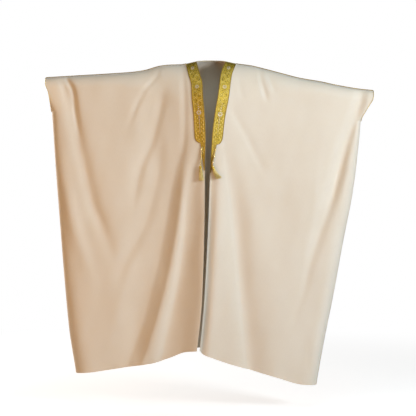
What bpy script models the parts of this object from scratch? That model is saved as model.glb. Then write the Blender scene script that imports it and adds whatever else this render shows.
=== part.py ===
"""Wide open-front cloak with a gold neck band, corded tassels and hand slits, arms spread.

Metres, +Z up. The origin lies on the shoulder line, in the middle of the neck.
The front faces -Y. "right" and "left" are the wearer's own, so right is at -X.
"""
import math
from collections import namedtuple

import bmesh
import bpy
import numpy as np

# Walls and clearances
CLOTH_WALL = 0.0016
BAND_WALL = 0.0012
SEAM_GAP = 0.0003
TRIM_LIFT = 0.0007
SHARP_ANGLE = math.radians(50.0)

# Rows and columns of the panels; the first turn is as deep as the gold band is wide
TURN_DEGREES = (0.0, 22.5, 40.0, 57.0, 73.0, 90.0)
ARC_STEPS = len(TURN_DEGREES) - 1
SLIT_STEPS = 4
FRONT_LOWER_STEPS = 17
BACK_LOWER_STEPS = 13
SIDE_STEPS = 4
MIDDLE_STEPS = 17
BAND_STEPS = 3
NECK_STEPS = 8

# Rounded side of the worn panels, and the gold band, as shares of one front's width
SIDE_ROUND = 0.12
BAND_SHARE = 0.0715

# Neck seam behind the shoulders
NECK_BACK = 0.066
NECK_RISE = 0.008
NAPE_DEPTH = 0.050
NAPE_WIDTH = 0.095
NAPE_TURN = math.radians(45.0)

# Hand slit: how far down the side edge it runs, as a share of the cloth below the arm
SLIT_SHARE = {"right": 0.080, "left": 0.068}

# Gold band
BAND_WIDTH = 0.048
TAIL_WIDTH = 0.023
TAIL_TIP = 0.003
BAND_FOOT = {"right": -0.324, "left": -0.328}
TAIL_START = {"right": -0.358, "left": -0.364}
TAIL_END = {"right": -0.483, "left": -0.493}
FOOT_STEPS = 4
TAIL_STEPS = 4
FOOT_ROW_CLEAR = 0.012
NECK_BAND_END = 0.30

# Braid on the shoulder seams and edging round the hand slits
BRAID_HALF = 0.0032
BRAID_HEIGHT = 0.0014
BRAID_SHOULDER = 0.6
BRAID_LIFT = 0.0008
BRAID_END_GAP = 0.0006
EDGING_RADIUS = 0.0015
EDGING_GAP = 0.0009
EDGING_SIDES = 6

# Cords and tassels
CORD_RADIUS = 0.0025
CORD_STEPS = 12
CORD_RESOLUTION = 2
SPOT_STEPS = 10
KNOT_GAP = 0.00045
HEAD_RADIUS = 0.0062
HEAD_LENGTH = 0.016
HEAD_PROFILE = ((0.0, 0.45), (0.0022, 0.80), (0.0062, 1.0), (0.0105, 0.78), (HEAD_LENGTH, 0.92))
SKIRT_LENGTH = {"right": 0.053, "left": 0.045}
SKIRT_WIDE = {"right": 0.0115, "left": 0.0130}
SKIRT_DEEP = 0.0070
STRANDS_ROUND = 12
STRAND_RINGS = 5
STRAND_ROOT = 0.62
STRAND_SPREAD = 0.5
CELL_RINGS = (0.58, 0.20)
INNER_SPREAD = 0.48

RIGHT, LEFT = "right", "left"

# Outline seen from the front: one row for each place on an edge
Place = namedtuple("Place", "x z")
SHOULDER_LINE = {
    RIGHT: (
        Place(-0.742, -0.065), Place(-0.590, -0.056), Place(-0.454, -0.048),
        Place(-0.355, -0.041), Place(-0.298, -0.033), Place(-0.225, -0.013),
        Place(-0.180, -0.008), Place(-0.135, -0.007), Place(-0.109, -0.003), Place(-0.061, 0.008),
    ),
    LEFT: (
        Place(0.738, -0.123), Place(0.678, -0.117), Place(0.577, -0.100), Place(0.497, -0.083),
        Place(0.409, -0.068), Place(0.318, -0.045), Place(0.242, -0.025),
        Place(0.183, -0.011), Place(0.123, -0.003), Place(0.070, 0.008),
    ),
}
SIDE_EDGE = {
    RIGHT: (
        Place(-0.742, -0.065), Place(-0.740, -0.095), Place(-0.727, -0.130),
        Place(-0.719, -0.185), Place(-0.714, -0.250), Place(-0.699, -0.479),
        Place(-0.682, -0.708), Place(-0.661, -0.981), Place(-0.640, -1.208), Place(-0.610, -1.402),
    ),
    LEFT: (
        Place(0.738, -0.123), Place(0.733, -0.161), Place(0.719, -0.186), Place(0.699, -0.219),
        Place(0.684, -0.250), Place(0.679, -0.313), Place(0.652, -0.554),
        Place(0.602, -0.822), Place(0.557, -1.070), Place(0.521, -1.250), Place(0.485, -1.455),
    ),
}
FRONT_EDGE = {
    RIGHT: (
        Place(-0.061, 0.008), Place(-0.045, -0.052), Place(-0.033, -0.095),
        Place(-0.031, -0.145), Place(-0.024, -0.227), Place(-0.019, -0.334),
        Place(-0.023, -0.484), Place(-0.025, -0.708), Place(-0.036, -1.060), Place(-0.060, -1.300),
    ),
    LEFT: (
        Place(0.070, 0.008), Place(0.048, -0.052), Place(0.034, -0.154), Place(0.020, -0.236),
        Place(0.009, -0.334), Place(0.001, -0.493), Place(-0.007, -0.708),
        Place(-0.025, -1.060), Place(-0.047, -1.300),
    ),
}
HEM = {
    RIGHT: (
        Place(-0.610, -1.402), Place(-0.532, -1.394), Place(-0.418, -1.377),
        Place(-0.315, -1.359), Place(-0.250, -1.347), Place(-0.180, -1.323),
        Place(-0.110, -1.294), Place(-0.060, -1.287),
    ),
    LEFT: (
        Place(0.485, -1.455), Place(0.413, -1.449), Place(0.292, -1.413), Place(0.172, -1.378),
        Place(0.086, -1.351), Place(0.014, -1.324), Place(-0.034, -1.303), Place(-0.047, -1.288),
    ),
}
BACK_HEM = (
    Place(-0.610, -1.402), Place(-0.418, -1.374), Place(-0.200, -1.330), Place(-0.040, -1.306),
    Place(0.120, -1.326), Place(0.330, -1.405), Place(0.485, -1.455),
)

# Depth of the worn panels from the side edge (across 0) to the middle of the body (across 1)
Section = namedtuple("Section", "across depth_top depth_hem shoulder_drop")
SECTIONS = {
    "front": (
        Section(0.00, 0.044, 0.056, 0.050), Section(0.30, 0.054, 0.078, 0.056),
        Section(0.52, 0.068, 0.094, 0.072), Section(0.70, 0.100, 0.118, 0.120),
        Section(0.86, 0.122, 0.136, 0.180), Section(1.00, 0.128, 0.140, 0.200),
    ),
    "back": (
        Section(0.00, 0.044, 0.056, 0.050), Section(0.30, 0.054, 0.078, 0.056),
        Section(0.52, 0.066, 0.094, 0.068), Section(0.70, 0.094, 0.116, 0.105),
        Section(0.86, 0.114, 0.134, 0.150), Section(1.00, 0.120, 0.142, 0.170),
    ),
}

# Large folds: a curve through three places, a positive depth sinks towards the body
Fold = namedtuple("Fold", "panel x_top z_top x_mid z_mid x_foot z_foot depth_mid depth_foot width")
FOLDS = (
    Fold("front_right", -0.640, -0.07, -0.590, -0.27, -0.450, -0.74, 0.013, 0.000, 0.024),
    Fold("front_right", -0.660, -0.33, -0.590, -0.70, -0.440, -1.02, -0.012, 0.000, 0.034),
    Fold("front_right", -0.225, -0.10, -0.300, -0.47, -0.440, -1.00, 0.011, 0.000, 0.030),
    Fold("front_right", -0.110, -0.36, -0.205, -0.79, -0.345, -1.42, 0.026, 0.038, 0.034),
    Fold("front_right", -0.068, -0.34, -0.132, -0.77, -0.252, -1.42, -0.012, -0.018, 0.027),
    Fold("front_right", -0.480, -0.72, -0.470, -1.05, -0.455, -1.42, 0.010, 0.024, 0.040),
    Fold("front_right", -0.560, -0.80, -0.555, -1.10, -0.540, -1.42, -0.006, -0.014, 0.032),
    Fold("front_left", 0.066, -0.27, 0.140, -0.80, 0.296, -1.46, 0.021, 0.024, 0.027),
    Fold("front_left", 0.035, -0.50, 0.058, -1.00, 0.120, -1.44, -0.011, -0.012, 0.024),
    Fold("front_left", 0.695, -0.15, 0.596, -0.56, 0.330, -1.25, 0.017, 0.000, 0.027),
    Fold("front_left", 0.640, -0.30, 0.545, -0.80, 0.440, -1.48, -0.008, -0.012, 0.030),
    Fold("front_left", 0.250, -0.45, 0.230, -0.85, 0.200, -1.44, -0.008, -0.014, 0.040),
    Fold("front_left", 0.420, -0.95, 0.400, -1.20, 0.380, -1.48, 0.012, 0.022, 0.034),
    Fold("back", -0.650, -0.08, -0.590, -0.34, -0.400, -0.90, 0.014, 0.000, 0.028),
    Fold("back", -0.240, -0.10, -0.310, -0.50, -0.390, -1.00, 0.012, 0.000, 0.032),
    Fold("back", -0.150, -0.32, -0.225, -0.82, -0.335, -1.45, 0.024, 0.036, 0.036),
    Fold("back", -0.085, -0.36, -0.130, -0.80, -0.215, -1.45, -0.012, -0.020, 0.034),
    Fold("back", -0.020, -0.30, -0.030, -0.80, -0.070, -1.45, 0.012, 0.022, 0.032),
    Fold("back", 0.050, -0.36, 0.060, -0.80, 0.045, -1.45, -0.010, -0.018, 0.034),
    Fold("back", 0.140, -0.32, 0.180, -0.82, 0.190, -1.45, 0.020, 0.030, 0.034),
    Fold("back", 0.250, -0.12, 0.300, -0.50, 0.330, -1.00, 0.012, 0.000, 0.034),
    Fold("back", 0.655, -0.15, 0.560, -0.46, 0.330, -1.00, 0.015, 0.000, 0.028),
    Fold("back", -0.500, -0.75, -0.480, -1.10, -0.460, -1.45, 0.010, 0.022, 0.038),
    Fold("back", 0.420, -0.85, 0.370, -1.15, 0.350, -1.50, 0.012, 0.024, 0.036),
)

# Slow waves that grow towards the hem, where the wide cloth hangs into less room
Wave = namedtuple("Wave", "panel count phase height")
WAVES = (
    Wave("front_right", 3.5, 0.8, 0.006),
    Wave("front_left", 3.2, 2.3, 0.005),
    Wave("back", 7.5, 1.1, 0.006),
)

# Cord routes over the front panels, and the way each tassel hangs
Route = namedtuple("Route", "x z lift")
CORD_ROUTE = {
    RIGHT: (
        Route(-0.0370, -0.3790, 0.0048), Route(-0.0368, -0.4020, 0.0056),
        Route(-0.0395, -0.4300, 0.0070), Route(-0.0425, -0.4600, 0.0096),
    ),
    LEFT: (
        Route(0.0262, -0.3780, 0.0048), Route(0.0222, -0.4020, 0.0056),
        Route(0.0165, -0.4300, 0.0070), Route(0.0112, -0.4530, 0.0088), Route(0.0124, -0.4640, 0.0096),
    ),
}
TASSEL_LEAN = {RIGHT: math.radians(3.0), LEFT: math.radians(17.0)}
TASSEL_SWEEP = {RIGHT: 0.001, LEFT: 0.011}

SKIN = {
    "cloth": ((0.79, 0.69, 0.55, 1.0), 0.62, 0.0),
    "gold": ((0.66, 0.47, 0.12, 1.0), 0.42, 0.55),
}


def clear_scene():
    """Start from an empty scene."""
    for thing in list(bpy.data.objects):
        bpy.data.objects.remove(thing, do_unlink=True)


def make_material(name, skin):
    """Principled material in the colour, roughness and metallic value of a skin."""
    colour, roughness, metallic = SKIN[skin]
    material = bpy.data.materials.new(name)
    material.use_nodes = True
    shader = material.node_tree.nodes["Principled BSDF"]
    shader.inputs["Base Color"].default_value = colour
    shader.inputs["Roughness"].default_value = roughness
    shader.inputs["Metallic"].default_value = metallic
    return material


def add_object(name, data, skin):
    """Put a mesh or curve in the scene under its node's name, with its own material."""
    thing = bpy.data.objects.new(name, data)
    bpy.context.scene.collection.objects.link(thing)
    data.materials.append(make_material(name, skin))
    return thing


def ease(share):
    """Smooth step from 0 to 1."""
    share = np.clip(share, 0.0, 1.0)
    return share * share * (3.0 - 2.0 * share)


def smooth(at, knots, values):
    """Smooth curve through a table's values, with no overshoot between them."""
    order = np.argsort(knots)
    knots = np.asarray(knots, float)[order]
    values = np.asarray(values, float)[order]
    gaps = np.diff(knots)
    slopes = np.diff(values) / gaps
    tangents = np.concatenate(([slopes[0]], np.zeros(len(slopes) - 1), [slopes[-1]]))
    for place in range(1, len(slopes)):
        before, after = slopes[place - 1], slopes[place]
        if before * after > 0:
            tangents[place] = 2.0 * before * after / (before + after)
    at = np.clip(at, knots[0], knots[-1])
    cell = np.clip(np.searchsorted(knots, at) - 1, 0, len(gaps) - 1)
    share = (at - knots[cell]) / gaps[cell]
    rest = 1.0 - share
    return (values[cell] * (1.0 + 2.0 * share) * rest ** 2
            + tangents[cell] * gaps[cell] * share * rest ** 2
            + values[cell + 1] * share ** 2 * (3.0 - 2.0 * share)
            - tangents[cell + 1] * gaps[cell] * share ** 2 * rest)


def height_at(edge, x):
    """Height of an edge that runs sideways, at x."""
    return smooth(x, [place.x for place in edge], [place.z for place in edge])


def side_at(edge, z):
    """Sideways place of an edge that runs downwards, at z."""
    return smooth(z, [place.z for place in edge], [place.x for place in edge])


def section_value(face, field, across):
    """One column of the section table, at a share of the way from side edge to middle."""
    table = SECTIONS[face]
    return smooth(across, [row.across for row in table], [getattr(row, field) for row in table])


def fold_relief(panel, x, z, fall, across):
    """How far folds and hem waves sink the cloth towards the body at each point."""
    relief = np.zeros_like(x)
    for fold in FOLDS:
        if fold.panel != panel:
            continue
        heights = (fold.z_top, fold.z_mid, fold.z_foot)
        line = smooth(z, heights, (fold.x_top, fold.x_mid, fold.x_foot))
        upper = ease((fold.z_top - z) / (fold.z_top - fold.z_mid))
        lower = ease((fold.z_mid - z) / (fold.z_mid - fold.z_foot))
        depth = fold.depth_mid * upper + (fold.depth_foot - fold.depth_mid) * lower
        relief += depth * np.exp(-((x - line) / fold.width) ** 2)
    for wave in WAVES:
        if wave.panel == panel:
            swing = np.cos(2.0 * math.pi * wave.count * across + wave.phase)
            relief += wave.height * fall ** 2 * swing
    return relief


def half_columns():
    """Shares across one half, closer together on the rounded side and under the band."""
    rounded = [SIDE_ROUND * (1.0 - math.cos(math.radians(90.0) * step / SIDE_STEPS))
               for step in range(SIDE_STEPS)]
    middle = list(np.linspace(SIDE_ROUND, 1.0 - BAND_SHARE, MIDDLE_STEPS + 1))
    band = [1.0 - BAND_SHARE * (1.0 - step / BAND_STEPS) for step in range(1, BAND_STEPS + 1)]
    return np.array(rounded + middle + band)


def panel_rows(slit_share, lower_steps):
    """Rows of a panel: turn over the arm, opening of the slit, and share of the fall."""
    turn, slit, fall = [], [], []
    for degrees in TURN_DEGREES:
        turn.append(math.radians(degrees))
        slit.append(1.0)
        fall.append(0.0)
    for step in range(1, SLIT_STEPS + 1):
        angle = math.radians(90.0) * step / SLIT_STEPS
        turn.append(math.radians(90.0))
        slit.append(math.cos(angle) if step < SLIT_STEPS else 0.0)
        fall.append(slit_share * math.sin(angle))
    for step in range(1, lower_steps + 1):
        turn.append(math.radians(90.0))
        slit.append(0.0)
        fall.append(slit_share + (1.0 - slit_share) * step / lower_steps)
    return np.array(turn), np.array(slit), np.array(fall)


def hung_cloth(face, top, foot_z, across, rows):
    """Heights and depths of cloth that turns over the arms and hangs, before its folds."""
    turn, slit, fall = (row[:, None] for row in rows)
    start_y = top[None, :, 1]
    if face == "back":
        middle = (SHOULDER_LINE[RIGHT][-1].x + SHOULDER_LINE[LEFT][-1].x) / 2.0
        nape = NAPE_DEPTH * np.exp(-((top[None, :, 0] - middle) / NAPE_WIDTH) ** 2)
        start_y = start_y + (nape - start_y) * ease(turn / NAPE_TURN)
    drop = section_value(face, "shoulder_drop", across)[None, :]
    start = top[None, :, 2] - drop * (1.0 - np.cos(turn))
    z = start + (foot_z[None, :] - start) * fall
    depth_top = section_value(face, "depth_top", across)[None, :]
    depth_hem = section_value(face, "depth_hem", across)[None, :]
    depth = depth_top + (depth_hem - depth_top) * ease(fall)
    inward = np.clip(across / SIDE_ROUND, 0.0, 1.0)
    side = np.sqrt(1.0 - (1.0 - inward) ** 2)[None, :]
    roundness = 1.0 - (1.0 - slit) * (1.0 - side)
    depth = depth * roundness
    y = start_y + (depth - start_y) * np.sin(turn)
    return y, z, side * np.sin(turn)


def surface_normals(points, outward):
    """Unit normals of a grid of points, turned to the side that outward names."""
    down = np.gradient(points, axis=0)
    across = np.gradient(points, axis=1)
    normals = np.cross(down, across)
    normals /= np.linalg.norm(normals, axis=2, keepdims=True)
    if normals[len(normals) // 2, normals.shape[1] // 2, 1] * outward < 0:
        normals = -normals
    return normals


def flatten_seams(normals, seam):
    """Normals on a seam stay in the seam's own plane, so both sides meet face to face."""
    normals[seam, 1] = 0.0
    normals[seam] /= np.linalg.norm(normals[seam], axis=1, keepdims=True)


def front_cloth(side):
    """Outer points and normals of one front, rows from shoulder to hem."""
    across = half_columns()
    rows = panel_rows(SLIT_SHARE[side], FRONT_LOWER_STEPS)
    shoulder, hem = SHOULDER_LINE[side], HEM[side]
    cuff, neck = shoulder[0], shoulder[-1]
    top = np.zeros((len(across), 3))
    top[:, 0] = cuff.x + (neck.x - cuff.x) * across
    top[:, 2] = height_at(shoulder, top[:, 0])
    foot_x = hem[0].x + (hem[-1].x - hem[0].x) * across
    depth, z, loose = hung_cloth("front", top, height_at(hem, foot_x), across, rows)
    outer_x = side_at(SIDE_EDGE[side], z[:, 0])[:, None]
    inner_x = side_at(FRONT_EDGE[side], z[:, -1])[:, None]
    x = outer_x + (inner_x - outer_x) * across[None, :]
    depth = depth - loose * fold_relief("front_" + side, x, z, rows[2][:, None], across[None, :])
    points = np.stack([x, -depth - SEAM_GAP / 2.0, z], axis=2)
    normals = surface_normals(points, -1.0)
    seam = np.zeros(x.shape, bool)
    seam[0, :] = True
    seam[ARC_STEPS + SLIT_STEPS:, 0] = True
    flatten_seams(normals, seam)
    return points, normals


def back_top():
    """Top edge of the back, cuff to cuff round the neck, and the share across of each point."""
    right, left = SHOULDER_LINE[RIGHT], SHOULDER_LINE[LEFT]
    share = half_columns()
    right_x = right[0].x + (right[-1].x - right[0].x) * share
    left_x = (left[0].x + (left[-1].x - left[0].x) * share)[::-1]
    angles = np.linspace(0.0, math.pi, NECK_STEPS + 1)[1:-1]
    middle, half = (right[-1].x + left[-1].x) / 2.0, (left[-1].x - right[-1].x) / 2.0
    neck_x = middle - half * np.cos(angles)
    x = np.concatenate([right_x, neck_x, left_x])
    y = np.concatenate([np.zeros(len(share)), NECK_BACK * np.sin(angles), np.zeros(len(share))])
    z = np.concatenate([height_at(right, right_x), right[-1].z + NECK_RISE * np.sin(angles),
                        height_at(left, left_x)])
    across = np.concatenate([share, np.ones(len(angles)), share[::-1]])
    return np.stack([x, y, z], axis=1), across


def back_cloth():
    """Outer points and normals of the back, rows from shoulder to hem."""
    top, across = back_top()
    half = len(half_columns())
    slit_share = np.where(np.arange(len(across)) < len(across) // 2,
                          SLIT_SHARE[RIGHT], SLIT_SHARE[LEFT])
    share = (top[:, 0] - top[0, 0]) / (top[-1, 0] - top[0, 0])
    foot_x = BACK_HEM[0].x + (BACK_HEM[-1].x - BACK_HEM[0].x) * share
    foot_z = height_at(BACK_HEM, foot_x)
    parts = {name: hung_cloth("back", top, foot_z, across, panel_rows(value, BACK_LOWER_STEPS))
             for name, value in SLIT_SHARE.items()}
    blend = ease((top[:, 0] - top[half - 1, 0]) / (top[-half, 0] - top[half - 1, 0]))[None, :]
    depth, z, loose = (parts[RIGHT][field] * (1.0 - blend) + parts[LEFT][field] * blend
                       for field in range(3))
    right_x = side_at(SIDE_EDGE[RIGHT], z[:, 0])[:, None]
    left_x = side_at(SIDE_EDGE[LEFT], z[:, -1])[:, None]
    x = right_x + (left_x - right_x) * share[None, :]
    fall = panel_rows(slit_share.mean(), BACK_LOWER_STEPS)[2][:, None]
    depth = depth - loose * fold_relief("back", x, z, fall, share[None, :])
    points = np.stack([x, depth + SEAM_GAP / 2.0, z], axis=2)
    normals = surface_normals(points, 1.0)
    seam = np.zeros(x.shape, bool)
    seam[0, :half] = True
    seam[0, -half:] = True
    seam[ARC_STEPS + SLIT_STEPS:, 0] = True
    seam[ARC_STEPS + SLIT_STEPS:, -1] = True
    flatten_seams(normals, seam)
    return points, normals


def grid_faces(first, rows, columns, turned):
    """Triangles over a grid of points that starts at a number."""
    faces = []
    for row in range(rows - 1):
        for column in range(columns - 1):
            a = first + row * columns + column
            b, c, d = a + 1, a + columns + 1, a + columns
            pair = [(a, b, c), (a, c, d)]
            faces += [face[::-1] for face in pair] if turned else pair
    return faces


def rim_faces(rim, shift):
    """Triangles between a closed loop of points and the same loop on the other grid."""
    faces = []
    for here, there in zip(rim, rim[1:] + rim[:1]):
        faces += [(here, there, there + shift), (here, there + shift, here + shift)]
    return faces


def build_mesh(name, points, faces, skin):
    """Closed mesh object with its faces pointing out."""
    bm = bmesh.new()
    verts = [bm.verts.new(point) for point in points]
    for face in faces:
        bm.faces.new([verts[index] for index in face])
    bmesh.ops.recalc_face_normals(bm, faces=bm.faces)
    mesh = bpy.data.meshes.new(name)
    bm.to_mesh(mesh)
    bm.free()
    mesh.shade_smooth()
    mesh.set_sharp_from_angle(angle=SHARP_ANGLE)
    return add_object(name, mesh, skin)


def add_wall(name, outer, inner, skin):
    """Wall between two grids of points, closed round its edge."""
    rows, columns = outer.shape[:2]
    count = rows * columns
    points = np.concatenate([outer.reshape(-1, 3), inner.reshape(-1, 3)])
    faces = grid_faces(0, rows, columns, False) + grid_faces(count, rows, columns, True)
    rim = ([column for column in range(columns)]
           + [row * columns + columns - 1 for row in range(1, rows)]
           + [(rows - 1) * columns + column for column in range(columns - 2, -1, -1)]
           + [row * columns for row in range(rows - 2, 0, -1)])
    return build_mesh(name, points, faces + rim_faces(rim, count), skin)


def read_grid(grid, row, column):
    """Value of a grid between its points."""
    row = np.clip(row, 0.0, grid.shape[0] - 1.0)
    column = np.clip(column, 0.0, grid.shape[1] - 1.0)
    r = np.minimum(row.astype(int), grid.shape[0] - 2)
    c = np.minimum(column.astype(int), grid.shape[1] - 2)
    dr, dc = (row - r)[..., None], (column - c)[..., None]
    return ((grid[r, c] * (1 - dc) + grid[r, c + 1] * dc) * (1 - dr)
            + (grid[r + 1, c] * (1 - dc) + grid[r + 1, c + 1] * dc) * dr)


def lay_on(cloth, row, column, lift):
    """Points of a panel between its rows and columns, moved out by a lift."""
    points, normals = cloth
    normal = read_grid(normals, row, column)
    normal /= np.linalg.norm(normal, axis=-1, keepdims=True)
    return read_grid(points, row, column) + normal * lift


def add_trim(name, cloth, row, column, skin):
    """Thin piece that lies on a panel, over the rows and columns given."""
    under = lay_on(cloth, row, column, TRIM_LIFT)
    over = lay_on(cloth, row, column, TRIM_LIFT + BAND_WALL)
    return add_wall(name, over, under, skin)


def band_width_at(side, z):
    """Width of the gold band at a height: straight, round at its foot, then a pointed tail."""
    foot, start, end = BAND_FOOT[side], TAIL_START[side], TAIL_END[side]
    if z >= foot:
        return BAND_WIDTH
    if z >= start:
        angle = math.asin(min(1.0, (foot - z) / (foot - start)))
        return TAIL_WIDTH + (BAND_WIDTH - TAIL_WIDTH) * math.cos(angle)
    share = (start - z) / (start - end)
    return TAIL_WIDTH + (TAIL_TIP - TAIL_WIDTH) * share


def build_front_band(side, cloth):
    """Gold band along the front edge, from the shoulder seam to the tail's point."""
    points = cloth[0]
    edge_z = points[:, -1, 2]
    foot, start, end = BAND_FOOT[side], TAIL_START[side], TAIL_END[side]
    heights = [z for z in edge_z if z > foot + FOOT_ROW_CLEAR] + [foot]
    for step in range(1, FOOT_STEPS + 1):
        heights.append(foot + (start - foot) * math.sin(math.radians(90.0) * step / FOOT_STEPS))
    for step in range(1, TAIL_STEPS + 1):
        heights.append(start + (end - start) * step / TAIL_STEPS)
    columns = points.shape[1] - 1
    share = np.arange(BAND_STEPS + 1) / BAND_STEPS
    row, column = [], []
    for z in heights:
        level = np.interp(-z, -edge_z, np.arange(len(edge_z)))
        width = band_width_at(side, z) / BAND_WIDTH * BAND_STEPS
        row.append(np.full(len(share), level))
        column.append(columns - width * (1.0 - share))
    add_trim("band_" + side, cloth, np.array(row), np.array(column), "gold")


def build_neck_band(cloth):
    """Gold band round the back of the neck, from one shoulder seam to the other."""
    half = len(half_columns())
    first, last = half - 1 - BAND_STEPS, half + NECK_STEPS - 1 + BAND_STEPS
    column = np.arange(first, last + 1, dtype=float)
    inward = np.minimum(column - first, last - column) / BAND_STEPS
    depth = NECK_BAND_END + (1.0 - NECK_BAND_END) * np.sin(
        math.radians(90.0) * np.minimum(inward, 1.0))
    add_trim("band_neck", cloth, np.stack([np.zeros(len(column)), depth]),
             np.stack([column, column]), "gold")


def build_braid(side):
    """Thin gold braid over the shoulder seam, from the band's edge to the cuff."""
    shoulder = SHOULDER_LINE[side]
    share = half_columns()[:-BAND_STEPS]
    x = shoulder[0].x + (shoulder[-1].x - shoulder[0].x) * share
    path = np.stack([x, np.zeros(len(x)), height_at(shoulder, x)], axis=1)
    path[-1, 0] += math.copysign(BRAID_END_GAP, x[-1])
    path[:, 2] += BRAID_LIFT
    half = np.array([0.0, BRAID_HALF, 0.0])
    crown = np.array([0.0, 0.0, BRAID_HEIGHT])
    edge = crown * BRAID_SHOULDER
    upper = np.stack([path - half + edge, path + crown, path + half + edge], axis=1)
    under = np.stack([path - half, path, path + half], axis=1)
    add_wall("braid_" + side, upper, under, "gold")


def slit_loop(side, front, back):
    """Closed path round the hand slit, just outside the free edges of front and back."""
    column = 0 if side == RIGHT else back[0].shape[1] - 1
    last = ARC_STEPS + SLIT_STEPS
    down = front[0][:last, 0] - front[1][:last, 0] * CLOTH_WALL / 2.0
    up = back[0][:last, column] - back[1][:last, column] * CLOTH_WALL / 2.0
    foot = (front[0][last, 0] + back[0][last, column]) / 2.0
    top = (down[0] + up[0]) / 2.0
    loop = np.concatenate([[top], down[1:], [foot], up[1:][::-1]])
    outward = -1.0 if side == RIGHT else 1.0
    loop[:, 0] += outward * (EDGING_RADIUS + EDGING_GAP)
    return loop


def build_edging(side, front, back):
    """Thin gold edging that runs round the hand slit."""
    loop = slit_loop(side, front, back)
    count = len(loop)
    points, faces = [], []
    outward = np.array([1.0, 0.0, 0.0])
    for index, centre in enumerate(loop):
        along = loop[(index + 1) % count] - loop[index - 1]
        along /= np.linalg.norm(along)
        flat = outward - along * np.dot(along, outward)
        flat /= np.linalg.norm(flat)
        wide = np.cross(along, flat)
        for corner in range(EDGING_SIDES):
            angle = 2.0 * math.pi * corner / EDGING_SIDES
            points.append(centre + EDGING_RADIUS * (math.cos(angle) * flat + math.sin(angle) * wide))
    for index in range(count):
        here, there = index * EDGING_SIDES, (index + 1) % count * EDGING_SIDES
        for corner in range(EDGING_SIDES):
            next_corner = (corner + 1) % EDGING_SIDES
            faces.append((here + corner, there + corner, there + next_corner))
            faces.append((here + corner, there + next_corner, here + next_corner))
    build_mesh("edging_" + side, points, faces, "gold")


def find_spot(cloth, x, z):
    """Row and column of a panel at a place seen from the front."""
    points = cloth[0]
    rows = np.arange(0, (points.shape[0] - 1) * SPOT_STEPS + 1) / SPOT_STEPS
    columns = np.arange(0, (points.shape[1] - 1) * SPOT_STEPS + 1) / SPOT_STEPS
    row, column = np.meshgrid(rows, columns, indexing="ij")
    lattice = read_grid(points, row, column)
    miss = (lattice[..., 0] - x) ** 2 + (lattice[..., 2] - z) ** 2
    best = np.unravel_index(np.argmin(miss), miss.shape)
    return row[best], column[best]


def cord_path(side, cloth):
    """Smooth path of a cord in front of its panel, evenly spaced."""
    knots = []
    for stop in CORD_ROUTE[side]:
        row, column = find_spot(cloth, stop.x, stop.z)
        on_cloth = lay_on(cloth, np.array([row]), np.array([column]), stop.lift)[0]
        knots.append((stop.x, on_cloth[1], stop.z))
    knots = np.array(knots)
    steps = np.arange(len(knots), dtype=float)
    at = np.linspace(0.0, len(knots) - 1.0, CORD_STEPS + 1)
    return np.stack([smooth(at, steps, knots[:, axis]) for axis in range(3)], axis=1)


def build_cord(side, path):
    """Gold cord as a round tube with filled ends."""
    curve = bpy.data.curves.new("cord_" + side, "CURVE")
    curve.dimensions = "3D"
    curve.bevel_depth = CORD_RADIUS
    curve.bevel_resolution = CORD_RESOLUTION
    curve.use_fill_caps = True
    spline = curve.splines.new("POLY")
    spline.points.add(len(path) - 1)
    for point, place in zip(spline.points, path):
        point.co = (*place, 1.0)
    add_object("cord_" + side, curve, "gold")


def ring(centre, wide, deep, count, turn=0.0):
    """Points of an ellipse round a centre, in the tassel's own frame."""
    angles = turn + 2.0 * math.pi * np.arange(count) / count
    return np.stack([centre[0] + wide * np.cos(angles), centre[1] + deep * np.sin(angles),
                     np.full(count, centre[2])], axis=1)


def tassel_shape(side):
    """Points and faces of a tassel that hangs down from its own origin."""
    tip = np.array([TASSEL_SWEEP[side], 0.0, -HEAD_LENGTH - SKIRT_LENGTH[side]])
    points, faces = [], []
    for drop, share in HEAD_PROFILE:
        radius = HEAD_RADIUS * share
        points += list(ring((0.0, 0.0, -drop), radius, radius, STRANDS_ROUND))
    count = STRANDS_ROUND
    for level in range(len(HEAD_PROFILE) - 1):
        for index in range(count):
            a, b = level * count + index, level * count + (index + 1) % count
            faces.append((a, b, b + count, a + count))
    faces.append(tuple(range(count)))
    bottom = (len(HEAD_PROFILE) - 1) * count
    radius = HEAD_RADIUS * HEAD_PROFILE[-1][1]
    edges = [bottom]
    for share in CELL_RINGS:
        edges.append(len(points))
        points += list(ring((0.0, 0.0, -HEAD_LENGTH), radius * share, radius * share, count))
    faces.append(tuple(range(edges[2], edges[2] + count))[::-1])
    for outer, inner, spread in ((edges[0], edges[1], 1.0), (edges[1], edges[2], INNER_SPREAD)):
        for index in range(count):
            after = (index + 1) % count
            cell = (outer + index, outer + after, inner + after, inner + index)
            angle = 2.0 * math.pi * (index + 0.5) / count
            reach = np.array([SKIRT_WIDE[side] * math.cos(angle), SKIRT_DEEP * math.sin(angle), 0.0])
            faces += strand(points, cell, reach * spread, tip)
    return points, faces


def strand(points, cell, reach, tip):
    """One four-sided strand from a cell of the head's underside, which curves out to the tip."""
    corners = np.array([points[index] for index in cell])
    middle = corners.mean(axis=0)
    root = middle + (corners - middle) * STRAND_ROOT
    rings = [list(cell)]
    places = []
    for level in range(STRAND_RINGS):
        share = level / (STRAND_RINGS - 1)
        fall = tip * np.array([share ** 2, 0.0, share])
        centre = middle * (1.0 - share) + reach * share + fall
        places.append(centre + (root - middle) * (1.0 + STRAND_SPREAD * share))
    for place in places:
        rings.append(list(range(len(points), len(points) + 4)))
        points.extend(place)
    faces = []
    for upper, lower in zip(rings, rings[1:]):
        for index in range(4):
            after = (index + 1) % 4
            faces.append((upper[index], upper[after], lower[after], lower[index]))
    faces.append(tuple(rings[-1]))
    return faces


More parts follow.
